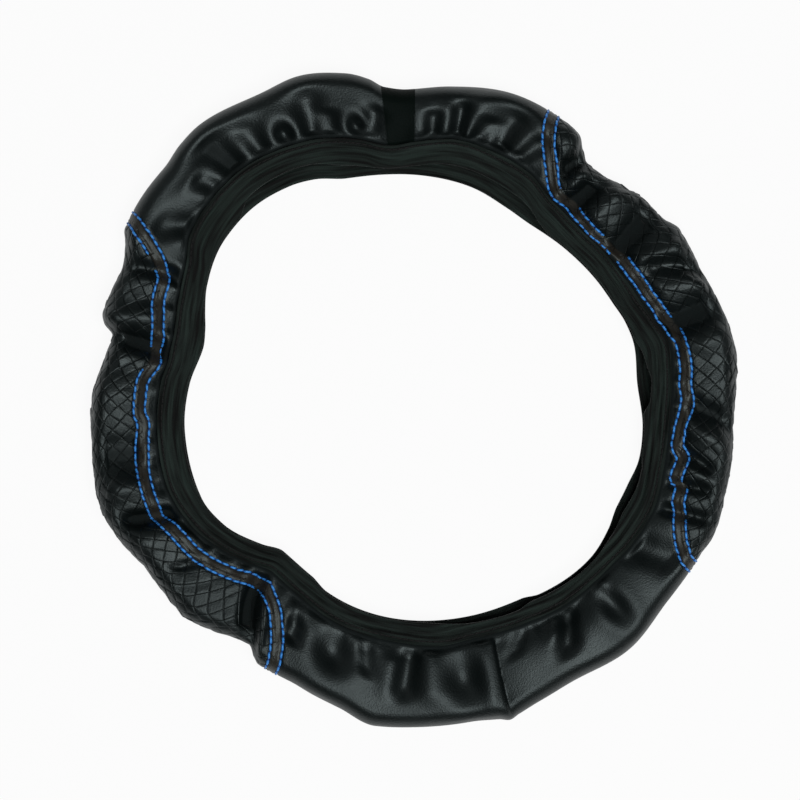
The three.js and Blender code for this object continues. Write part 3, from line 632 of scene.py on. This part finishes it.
# Puts points in millimetres round the ring's centre into a mesh in metres.
def meshPiece(name, points, faces, materials, pattern, values=None, faceMaterials=None, sharp=55):
    centre = np.array([*ring["centre"], 0])
    mesh = bpy.data.meshes.new(name)
    mesh.from_pydata(((points + centre) * 0.001).tolist(), [], faces)
    for material in materials:
        mesh.materials.append(material)
    corners = np.empty(len(mesh.loops), int)
    mesh.loops.foreach_get("vertex_index", corners)
    layer = mesh.uv_layers.new(name="pattern")
    layer.data.foreach_set("uv", pattern[corners].astype(np.float32).ravel())
    for key, value in (values or {}).items():
        mesh.attributes.new(key, "FLOAT", "POINT").data.foreach_set("value", value.astype(np.float32).ravel())
    if faceMaterials is not None:
        mesh.polygons.foreach_set("material_index", np.asarray(faceMaterials, np.int32))
    mesh.polygons.foreach_set("use_smooth", np.ones(len(mesh.polygons), bool))
    mesh.set_sharp_from_angle(angle=math.radians(sharp))
    mesh.update()
    piece = bpy.data.objects.new(name, mesh)
    bpy.context.scene.collection.objects.link(piece)
    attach(piece, "root")
    return piece


seamForm = {
    "lineSteps": 400,  # on each side of a grip
    "rowDistance": 3.4,  # mm from the seam to each stitch row
    "rowDepth": 0.6,
    "rowWidth": 0.9,
    "pillow": 0.35,  # rise between the seam and a row
    "pillowAt": 1.8,
    "pillowPitch": 8,
    "swell": 0.35,  # share by which a pillow swells and narrows
    "underlap": 0.15,  # how far the grip's edge lies under the plain leathercloth's
    "gridStart": (3.6, 5.0),  # mm from the seam over which the embossed grid begins
}


# The border of a grip as a closed line on the pattern: along its front seam, over the fold along one end,
# back along the rear seam and over the fold again.
def seamLoop(first, last):
    inner, outer = ring["cornerAcross"], 1 - ring["cornerAcross"]
    steps = seamForm["lineSteps"]
    share = np.linspace(0, 1, steps, endpoint=False)
    rising, falling = lerp(inner, outer, share), lerp(outer, inner, share)
    angle = np.concatenate([
        lerp(first[1], last[1], share), seamAngle(last, rising), lerp(last[1], first[1], share),
        seamAngle(first, falling),
    ])
    place = np.concatenate([np.full(steps, inner), rising, np.full(steps, outer), falling])
    return angle, place


def surfaceAt(angle, place, proud=0):
    across = relaxedAcross(angle, place)
    return pointOver(angle, across, reliefAt(angle, across) + proud)


def lengthsAlong(points):
    steps = np.linalg.norm(np.roll(points, -1, axis=0) - points, axis=1)
    return np.concatenate([[0], np.cumsum(steps)])


loops = {side: seamLoop(seams[first], seams[last]) for side, (first, last) in gripEnds.items()}
loopPoints = {side: surfaceAt(*line) for side, line in loops.items()}
loopLengths = {side: lengthsAlong(points)[:-1] for side, points in loopPoints.items()}


# Distance from each point to the nearest of the seam lines, and the length along that line there, for a
# chunk of points at a time.
def seamPlace(points, sides, chunk=4000):
    flat = points.reshape(-1, 3)
    best = np.full(len(flat), 1e3)
    along = np.zeros(len(flat))
    for side in sides:
        line = loopPoints[side]
        for first in range(0, len(flat), chunk):
            part = flat[first : first + chunk]
            squares = (part**2).sum(1)[:, None] + (line**2).sum(1)[None] - 2 * part @ line.T
            nearest = squares.argmin(1)
            distance = np.sqrt(np.maximum(squares[np.arange(len(part)), nearest], 0))
            closer = distance < best[first : first + chunk]
            best[first : first + chunk][closer] = distance[closer]
            along[first : first + chunk][closer] = loopLengths[side][nearest][closer]
    return best.reshape(points.shape[:-1]), along.reshape(points.shape[:-1])


# Height beside a seam: a bell-shaped pillow between it and the stitch row that swells and narrows along the
# seam, and a bell-shaped trough under the row.
def seamRelief(distance, along):
    swell = 1 - seamForm["swell"] + seamForm["swell"] * np.sin(2 * math.pi * along / seamForm["pillowPitch"])
    pillow = seamForm["pillow"] * swell * np.exp(-((distance - seamForm["pillowAt"]) ** 2))
    fromRow = (distance - seamForm["rowDistance"]) / seamForm["rowWidth"]
    return pillow - seamForm["rowDepth"] * np.exp(-(fromRow**2))


gridForm = {"grooveDepth": 0.32, "sharpness": 12, "tilt": 0.075, "cells": 256, "seed": 4}


# Height of the embossed grid: cells between two sets of lines at 45 degrees. Each cell is flat, falls to its
# grooves as a high power of the distance from its middle, and leans its own small way.
def gridRelief(patternX, patternY):
    pitch = leatherFinish["cell"] * math.sqrt(2)
    first, second = (patternX + patternY) / pitch, (patternX - patternY) / pitch
    firstCell, secondCell = np.floor(first).astype(int), np.floor(second).astype(int)
    firstPart, secondPart = (first - firstCell - 0.5) * 2, (second - secondCell - 0.5) * 2
    count = gridForm["cells"]
    lean = np.random.default_rng(gridForm["seed"]).normal(0, gridForm["tilt"], (2, count, count))
    firstLean, secondLean = lean[:, firstCell % count, secondCell % count]
    tilt = (firstLean * firstPart + secondLean * secondPart) * leatherFinish["cell"] / 2
    edge = np.maximum(np.abs(firstPart), np.abs(secondPart)) ** gridForm["sharpness"]
    return -gridForm["grooveDepth"] * edge + tilt * (1 - edge)


leatherMesh = {
    "smoothStep": 0.95,  # mm
    "creasedStep": 0.7,
    "gripStep": 0.62,
    "stripStep": 0.7,
    "foldRadius": 180,  # where a panel's columns are counted
    "stripRadius": 150,
    "patternRadius": 165,
    "innerEvery": 3,  # steps of the outside for one of the inside
    "pinch": (2.5, 7.5),  # mm of depth over which a fold turns dull
    "tucked": (0.5, 3.5),  # mm from the elastic over which the dull edge ends
}


# A sheet of leathercloth: an outside grid over angle and place, an inside grid with every third row and
# column one sheet below the lowest relief around it, and walls round the border.
def leatherSheet(name, node, finish, start, end, places, pulls, sides, step, grid=False):
    every = leatherMesh["innerEvery"]
    narrow = places[1] - places[0] <= ring["cornerAcross"]
    middle = np.array(ring["cornerAcross"] if narrow else 0.5)
    length = np.radians(end(middle) - start(middle)) * leatherMesh["stripRadius" if narrow else "foldRadius"]
    columns = max(round(length / step / every), 2) * every
    rows = max(round((places[1] - places[0]) * ring["wrapLength"] / step / every), 2) * every
    share, place = np.meshgrid(np.linspace(0, 1, columns + 1), np.linspace(*places, rows + 1), indexing="ij")
    angle = lerp(start(place), end(place), share)
    radius, _ = sectionPoint(angle, relaxedAcross(angle, place))
    angle = angle + np.where(share == 0, endPull(start, place, radius), 0)
    angle = angle - np.where(share == 1, endPull(end, place, radius), 0)
    across = relaxedAcross(angle, place)
    across[:, 0] += pulls[0] * ring["gap"] / 2 / ring["wrapLength"]
    across[:, -1] -= pulls[1] * ring["gap"] / 2 / ring["wrapLength"]
    relief = reliefAt(angle, across)
    tucked = 1 - smoothstep(sectionPoint(angle, across)[0] - frontRadius(angle), *leatherMesh["tucked"])
    pinch = np.maximum(smoothstep(-relief, *leatherMesh["pinch"]), tucked)
    distance = np.full(angle.shape, 50.0)
    if sides:
        distance, along = seamPlace(pointOver(angle, across, relief), sides)
        relief = relief + seamRelief(distance, along)
    patternX, patternY = np.radians(angle) * leatherMesh["patternRadius"], place * ring["wrapLength"]
    if grid:
        relief = relief + gridRelief(patternX, patternY) * smoothstep(distance, *seamForm["gridStart"])
        relief = relief - seamForm["underlap"] * np.exp(-(distance**2))
    outside = pointOver(angle, across, relief)

    lowest = relief
    for axis in (0, 1):
        count = lowest.shape[axis]
        padded = np.pad(lowest, [(every, every) if k == axis else (0, 0) for k in (0, 1)], mode="edge")
        shifted = [np.take(padded, range(k, k + count), axis) for k in range(2 * every + 1)]
        lowest = np.min(shifted, axis=0)
    inside = pointOver(angle, across, lowest - ring["sheet"])[::every, ::every]

    outer = np.arange(outside[..., 0].size).reshape(columns + 1, rows + 1)
    inner = outer.size + np.arange(inside[..., 0].size).reshape(columns // every + 1, rows // every + 1)

    def quads(ids, flipped):
        a, b, c, d = ids[:-1, :-1], ids[:-1, 1:], ids[1:, 1:], ids[1:, :-1]
        return np.stack([a, d, c, b] if flipped else [a, b, c, d], axis=-1).reshape(-1, 4).tolist()

    # A wall face spans three steps of the outside edge and one of the inside edge
    def walls(outerEdge, innerEdge, flipped):
        last = len(outerEdge) - every
        upper = np.stack([outerEdge[k : last + k : every] for k in range(every + 1)], axis=-1)
        faces = np.concatenate([upper, innerEdge[1:, None], innerEdge[:-1, None]], axis=1)
        return (faces[:, ::-1] if flipped else faces).tolist()

    outsideFaces = quads(outer, False)
    insideFaces = quads(inner, True)
    wallFaces = walls(outer[0], inner[0], True) + walls(outer[-1], inner[-1], False)
    wallFaces += walls(outer[:, 0], inner[:, 0], False) + walls(outer[:, -1], inner[:, -1], True)
    faces = outsideFaces + wallFaces + insideFaces
    pattern = np.stack([patternX, patternY], axis=-1)
    pattern = np.concatenate([pattern.reshape(-1, 2), pattern[::every, ::every].reshape(-1, 2)])
    values = {
        key: np.concatenate([value.ravel(), value[::every, ::every].ravel()])
        for key, value in (("seamDistance", distance), ("pinch", pinch))
    }
    piece = meshPiece(
        name, np.concatenate([outside.reshape(-1, 3), inside.reshape(-1, 3)]), faces, [finish, backing],
        pattern, values, [0] * (len(outsideFaces) + len(wallFaces)) + [1] * len(insideFaces),
    )
    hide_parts(node)


def endAt(seam, turns=0):
    return lambda place: seamAngle(seam, place) + 360 * turns


def levelEnd(angle):
    return lambda place: np.full_like(np.asarray(place, float), angle)


smoothPanels = [
    ("topPanelLeft", "top_panel_left", levelEnd(insert[1]), endAt(seams["leftUpper"]), ("left",)),
    ("topPanelRight", "top_panel_right", endAt(seams["rightUpper"]), levelEnd(insert[0]), ("right",)),
    ("topInsert", "top_insert", levelEnd(insert[0]), levelEnd(insert[1]), ()),
    ("bottomPanel", "bottom_panel", endAt(seams["leftLower"]), endAt(seams["rightLower"], 1),
     ("left", "right")),
]
for name, node, start, end, sides in smoothPanels:
    slot, finish = "smooth_leathercloth", smoothLeather
    if name == "topInsert":
        slot, finish = "dull_leathercloth", dullLeather
    step = leatherMesh["creasedStep" if name == "bottomPanel" else "smoothStep"]
    leatherSheet(name, node, finish, start, end, (0, 1), (0, 0), sides, step)
    print("panel made:", name)

for side, (first, last) in gripEnds.items():
    inner, outer = ring["cornerAcross"], 1 - ring["cornerAcross"]
    leatherSheet(
        side + "Grip", side + "_grip_panel", gridLeather, endAt(seams[first]),
        endAt(seams[last]), (inner, outer), (1, 1), (side,), leatherMesh["gripStep"], grid=True,
    )
    start, end = levelEnd(seams[first][1]), levelEnd(seams[last][1])
    for layer, places, pulls in (("Front", (0, inner), (0, 1)), ("Back", (outer, 1), (1, 0))):
        leatherSheet(
            side + layer + "Strip", f"{side}_{layer.lower()}_edge_strip",
            smoothLeather, start, end, places, pulls, (side,), leatherMesh["stripStep"],
        )
    print("grip made:", side)

bandForm = {
    "thickness": 1.4,
    "edgeShare": 0.35,  # of the thickness, left at the very edge
    "edgeRound": 0.7,  # mm
    "seat": 0.1,
    "slope": 0.3,
    "backHeight": 0.2,
    "ridge": 0.45,  # height of the long ridges of the relaxed elastic
    "ridgePitch": 4.6,
    "ridgeChange": 0.4,  # share by which they rise and fall
    "wander": ((2.6, 2, 1), (1.7, 5, 0), (0.8, 13, 2)),  # sines that shift them, as for the gathers
    "push": 0.35,  # height of the waves that the gathers push up
    "stitchInset": 2.5,  # from the band's outer edge to its stitches
    "trough": 0.55,  # depth that the stitches draw the band in
    "troughWidth": 0.7,
    "columns": 720,
    "rows": 54,
}


# Radius, underside height and unit of width of a band, from its outer edge at 0 to its inner edge at 1.
def bandBase(front, angle, share):
    outer = frontRadius(angle) if front else backRadius(angle)
    inner = holeRadius(angle) + (peekCurve(angle) if front else 0)
    radius = lerp(outer, inner, share)
    if not front:
        return radius, np.full_like(radius, bandForm["backHeight"]), outer - inner
    _, edgeHeight = sectionPoint(angle, acrossAtRadius(angle, outer))
    return radius, edgeHeight + bandForm["seat"] - bandForm["slope"] * (outer - radius), outer - inner


# Height of a band's face over its underside: round edges, sine ridges along it whose phase wanders round the
# ring, a bell-shaped trough under the stitches, and waves where the gathers push it.
def bandTop(front, angle, share):
    _, _, width = bandBase(front, angle, share)
    turn = np.radians(angle)
    fromEdge = np.clip(np.minimum(share, 1 - share) * width / bandForm["edgeRound"], 0, 1)
    rounding = np.sqrt(np.clip(1 - (1 - fromEdge) ** 2, 0, 1))
    phase = 2 * math.pi * share * width / bandForm["ridgePitch"] + wander(turn, bandForm["wander"])
    change = 1 - bandForm["ridgeChange"] + bandForm["ridgeChange"] * np.sin(3 * turn + 4 * share)
    ridges = bandForm["ridge"] * np.sin(phase) * change
    fromStitches = (share * width - bandForm["stitchInset"]) / bandForm["troughWidth"]
    trough = bandForm["trough"] * np.exp(-(fromStitches**2))
    waves = bandForm["push"] * gatherWave(turn) * (1 - share) if front else 0
    edge = bandForm["edgeShare"]
    return bandForm["thickness"] * (edge + (1 - edge) * rounding) + (ridges - trough) * rounding + waves


# A band: a closed ring of face points over angle and share, and an underside of few rows.
def elasticBand(name, node, front):
    columns, rows = bandForm["columns"], bandForm["rows"]
    angle, share = np.meshgrid(
        np.linspace(0, 360, columns, endpoint=False), np.linspace(0, 1, rows + 1), indexing="ij"
    )
    radius, base, width = bandBase(front, angle, share)
    top = base + bandTop(front, angle, share)
    low = base[:, ::rows]
    turn = np.radians(angle)
    upper = np.stack([radius * np.cos(turn), radius * np.sin(turn), top], axis=-1)
    lower = np.stack([(radius * np.cos(turn))[:, ::rows], (radius * np.sin(turn))[:, ::rows], low], axis=-1)
    points = np.concatenate([upper, lower[:, ::-1]], axis=1)
    count = points.shape[1]
    ids = np.arange(columns * count).reshape(columns, count)
    following = np.roll(ids, -1, axis=0)
    a, b = ids, np.roll(ids, -1, axis=1)
    c, d = np.roll(following, -1, axis=1), following
    faces = np.stack([a, b, c, d], axis=-1).reshape(-1, 4).tolist()
    across = np.concatenate([share * width, (share * width)[:, ::rows][:, ::-1]], axis=1)
    lengthwise = np.repeat((turn * webbingFinish["radius"])[:, :1], count, axis=1)
    pattern = np.stack([lengthwise, across], axis=-1).reshape(-1, 2)
    piece = meshPiece(name, points.reshape(-1, 3), faces, [webbing], pattern)
    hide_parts(node)


elasticBand("frontElastic", "front_elastic_band", True)
elasticBand("backElastic", "back_elastic_band", False)
print("elastic bands made")

threadForm = {
    "bluePitch": 4.35,
    "blueRadius": 0.65,
    "blackPitch": 3.4,
    "blackRadius": 0.5,
    "fill": 1.0,  # share of the pitch that a stitch covers
    "uneven": 0.04,  # share of the pitch by which stitches differ
    "lean": (0.06, 0.05),  # slant of the stitches in their row, mean and spread
    "lift": (0.8, 0.6),  # in radii, at a stitch's middle, and the fall to its ends
    "endNarrowing": 0.35,
    "flatness": 0.08,
    "blackSunk": 0.1,  # mm
    "fromElastic": 0.9,  # least distance of a blue row from the elastic's edge
    "tuckDepth": 1.8,  # how deep a row lies where a fold swallows it
    "tuckEase": 0.4,  # degrees, on both sides of the angle where the fold begins or ends
    "lineSteps": 2400,
    "stations": 7,
    "sides": 6,
    "blueSeed": 10,
    "blackSeed": 30,
}

# Angles between which the folds swallow a row, on the front
tucks = {
    "leftPlain": [(168, 170.8)],
    "leftGrip": [(151.2, 153.3), (168.5, 173.5), (229.5, 232)],
    "rightPlain": [(34.5, 36.5)],
    "rightGrip": [(48.8, 55.2), (33.5, 41), (14.8, 18.2), (342, 343.3), (335.8, 337)],
}


# The place on the pattern of a radius between the elastic and the grips' front seam.
def placeAtRadius(angle, radius):
    seamAt = acrossAtRadius(angle, frontRadius(angle) + reachCurve(angle))
    return acrossAtRadius(angle, radius) / seamAt * ring["cornerAcross"]


# Moves a line on the pattern sideways by a distance in space: the side vector, which is the surface normal
# crossed with the line's direction, is split along the two directions of the pattern by least squares.
def offsetLine(angle, place, distance):
    def plainAt(turned, moved):
        return pointOver(turned, relaxedAcross(turned, moved), 0)

    turnStep, placeStep = 0.2, 0.01
    base = plainAt(angle, place)
    along = np.roll(base, -2, axis=0) - np.roll(base, 2, axis=0)
    along /= np.linalg.norm(along, axis=1)[:, None]
    byAngle = (plainAt(angle + turnStep, place) - plainAt(angle - turnStep, place)) / (2 * turnStep)
    byPlace = (plainAt(angle, place + placeStep) - plainAt(angle, place - placeStep)) / (2 * placeStep)
    normal = np.cross(byPlace, byAngle)
    normal /= np.linalg.norm(normal, axis=1)[:, None]
    side = np.cross(normal, along) * distance
    a, b, c = (byAngle**2).sum(1), (byAngle * byPlace).sum(1), (byPlace**2).sum(1)
    first, second = (byAngle * side).sum(1), (byPlace * side).sum(1)
    det = a * c - b * b
    turned, moved = (c * first - b * second) / det, (a * second - b * first) / det
    reached = np.linalg.norm(plainAt(angle + turned, place + moved) - base, axis=1)
    scale = np.clip(abs(distance) / np.maximum(reached, 1e-6), 0.5, 2)
    return angle + turned * scale, place + moved * scale


# A row of stitches along a closed line: each is a tube whose middle stands on the surface and whose ends
# sink into it, with the lift falling as the eighth power of the distance from its middle.
def stitchRow(name, finish, points, normals, pitch, thickness, seed):
    lengths = lengthsAlong(points)
    total = lengths[-1]
    count = round(total / pitch)
    stations, sides = threadForm["stations"], threadForm["sides"]
    rng = np.random.default_rng(seed)
    closed = np.concatenate([points, points[:1]])
    closedNormals = np.concatenate([normals, normals[:1]])
    uneven = threadForm["uneven"]
    middle = (np.arange(count) + 0.5) * total / count + rng.normal(0, uneven, count) * pitch
    t = np.linspace(-1, 1, stations)
    reach = pitch * threadForm["fill"] / 2 * (1 + rng.normal(0, uneven, count))
    at = (middle[:, None] + t[None] * reach[:, None]) % total
    centre = np.stack([np.interp(at, lengths, closed[:, k]) for k in range(3)], axis=-1)
    normal = np.stack([np.interp(at, lengths, closedNormals[:, k]) for k in range(3)], axis=-1)
    normal /= np.linalg.norm(normal, axis=-1, keepdims=True)
    along = centre[:, -1:] - centre[:, :1]
    along = np.repeat(along / np.linalg.norm(along, axis=-1, keepdims=True), stations, axis=1)
    side = np.cross(normal, along)
    side /= np.linalg.norm(side, axis=-1, keepdims=True)
    lean = rng.normal(*threadForm["lean"], count)[:, None, None] * t[None, :, None] * reach[:, None, None]
    high, fall = threadForm["lift"]
    lift = thickness * (high - fall * np.abs(t) ** 8)
    centre = centre + normal * lift[None, :, None] + side * lean
    turn = np.linspace(0, 2 * math.pi, sides, endpoint=False)
    width = thickness * (1 - threadForm["endNarrowing"] * t**6)[None, :, None, None]
    sideways = width * np.cos(turn)[None, None, :, None] * (1 + threadForm["flatness"])
    upwards = width * np.sin(turn)[None, None, :, None] * (1 - threadForm["flatness"])
    tube = centre[:, :, None] + side[:, :, None] * sideways + normal[:, :, None] * upwards
    ids = np.arange(count * stations * sides).reshape(count, stations, sides)
    a, b = ids[:, :-1], np.roll(ids, -1, axis=2)[:, :-1]
    c, d = np.roll(ids, -1, axis=2)[:, 1:], ids[:, 1:]
    faces = np.stack([a, d, c, b], axis=-1).reshape(-1, 4).tolist()
    faces += ids[:, 0].tolist() + ids[:, -1, ::-1].tolist()
    lengthwise = np.broadcast_to(t[None, :, None], ids.shape)
    around = np.broadcast_to((turn / (2 * math.pi))[None, None], ids.shape)
    pattern = np.stack([lengthwise, around], axis=-1).reshape(-1, 2)
    piece = meshPiece(name, tube.reshape(-1, 3), faces, [finish], pattern, sharp=80)


# The surface normal, from the surface's change over a small step each way.
def surfaceNormals(angle, place, turnStep=0.25, placeStep=0.008):
    byAngle = surfaceAt(angle + turnStep, place) - surfaceAt(angle - turnStep, place)
    byPlace = surfaceAt(angle, place + placeStep) - surfaceAt(angle, place - placeStep)
    normal = np.cross(byPlace, byAngle)
    return normal / np.linalg.norm(normal, axis=-1, keepdims=True)


for index, (side, (angle, place)) in enumerate(loops.items()):
    for kind, sign in (("Plain", 1), ("Grip", -1)):
        rowAngle, rowPlace = offsetLine(angle, place, sign * seamForm["rowDistance"])
        least = placeAtRadius(rowAngle, frontRadius(rowAngle) + threadForm["fromElastic"])
        rowPlace = np.where(rowPlace < ring["cornerAcross"], np.maximum(rowPlace, least), rowPlace)
        proud = seamRelief(seamForm["rowDistance"], loopLengths[side])
        for first, last in tucks[side + kind]:
            turned, ease = angleBetween(rowAngle, first), threadForm["tuckEase"]
            leaving = smoothstep(turned, last - first - ease, last - first + ease)
            inside = smoothstep(turned, -ease, ease) * (1 - leaving)
            proud = proud - threadForm["tuckDepth"] * inside * (rowPlace < 0.5)
        stitchRow(
            side + kind + "Stitches", blueThread, surfaceAt(rowAngle, rowPlace, proud),
            surfaceNormals(rowAngle, rowPlace), threadForm["bluePitch"], threadForm["blueRadius"],
            threadForm["blueSeed"] + index * 2 + sign,
        )

for name, front in (("frontElasticStitches", True), ("backElasticStitches", False)):
    angle = np.linspace(0, 360, threadForm["lineSteps"], endpoint=False)
    _, _, width = bandBase(front, angle, 0)
    share = bandForm["stitchInset"] / width
    radius, base, _ = bandBase(front, angle, share)
    height = base + bandTop(front, angle, share) - threadForm["blackSunk"]
    turn = np.radians(angle)
    line = np.stack([radius * np.cos(turn), radius * np.sin(turn), height], axis=-1)
    tilt = bandForm["slope"] if front else 0
    normals = np.stack([-tilt * np.cos(turn), -tilt * np.sin(turn), np.ones_like(turn)], axis=-1)
    stitchRow(
        name, blackThread, line, normals, threadForm["blackPitch"], threadForm["blackRadius"],
        threadForm["blackSeed"],
    )
print("stitches made")

studio = {
    "cameraHeight": 2.6,
    "aim": (-0.00784, 0.0),
    "fieldWidth": 0.448,  # metres of the object's middle height that the picture spans
    "middleHeight": 0.0125,
    "keyPlace": (0.6, -0.7, 3.1),
    "keySize": 1.7,
    "keyPower": 72,
    "fillPlace": (-1.2, 1.3, 1.4),
    "fillSize": 1.6,
    "fillPower": 3,
    "worldStrength": 0.01,
    "floorGlow": 0.93,
    "floorRadius": 30,
}


# Floor and world: a white floor that glows most of its white for the camera, so shadows stay soft.
def makeFloor():
    turn = np.linspace(0, 2 * math.pi, 64, endpoint=False)
    points = studio["floorRadius"] * np.stack([np.cos(turn), np.sin(turn), np.zeros_like(turn)], axis=-1)
    mesh = bpy.data.meshes.new("floor")
    mesh.from_pydata(points.tolist(), [], [list(range(len(turn)))])
    material, tree = newMaterial("whiteMattFloor")
    plain = {"Base Color": hexColour("#f4f4f4"), "Roughness": 0.9, "Specular IOR Level": 0.1}
    shader = addNode(tree, "BsdfPrincipled", plain)
    light = addNode(tree, "LightPath").outputs
    seen = addNode(tree, "Math", [light["Is Camera Ray"], light["Is Glossy Ray"]], operation="MAXIMUM")
    seen = addNode(tree, "Math", [seen, light["Is Transmission Ray"]], operation="MAXIMUM")
    share = addNode(tree, "Math", [seen, studio["floorGlow"]], operation="MULTIPLY")
    glow = addNode(tree, "Emission", {"Color": (1, 1, 1, 1), "Strength": 1.0})
    mixed = addNode(tree, "MixShader", [share, shader, glow])
    addNode(tree, "OutputMaterial", {"Surface": mixed})
    mesh.materials.append(material)
    floor = bpy.data.objects.new("floor", mesh)
    bpy.context.scene.collection.objects.link(floor)


def addLamp(name, place, size, power):
    lamp = bpy.data.lights.new(name, "AREA")
    lamp.size = size
    lamp.energy = power
    holder = bpy.data.objects.new(name, lamp)
    holder.location = place
    holder.rotation_mode = "QUATERNION"
    holder.rotation_quaternion = (-holder.location).to_track_quat("-Z", "Y")
    bpy.context.scene.collection.objects.link(holder)


makeFloor()
addLamp("keySoftbox", studio["keyPlace"], studio["keySize"], studio["keyPower"])
addLamp("fillSoftbox", studio["fillPlace"], studio["fillSize"], studio["fillPower"])
world = bpy.data.worlds.new("studio")
world.use_nodes = True
world.node_tree.nodes.clear()
sky = addNode(
    world.node_tree, "Background", {"Color": (1, 1, 1, 1), "Strength": studio["worldStrength"]}
)
addNode(world.node_tree, "OutputWorld", {"Surface": sky})
bpy.context.scene.world = world
bpy.context.scene.view_settings.view_transform = "Standard"

camera = bpy.data.objects.new("camera", bpy.data.cameras.new("camera"))
camera.data.sensor_width = 36
camera.data.lens = 36 * (studio["cameraHeight"] - studio["middleHeight"]) / studio["fieldWidth"]
camera.location = (*studio["aim"], studio["cameraHeight"])
bpy.context.scene.collection.objects.link(camera)
bpy.context.scene.camera = camera
print("studio made")
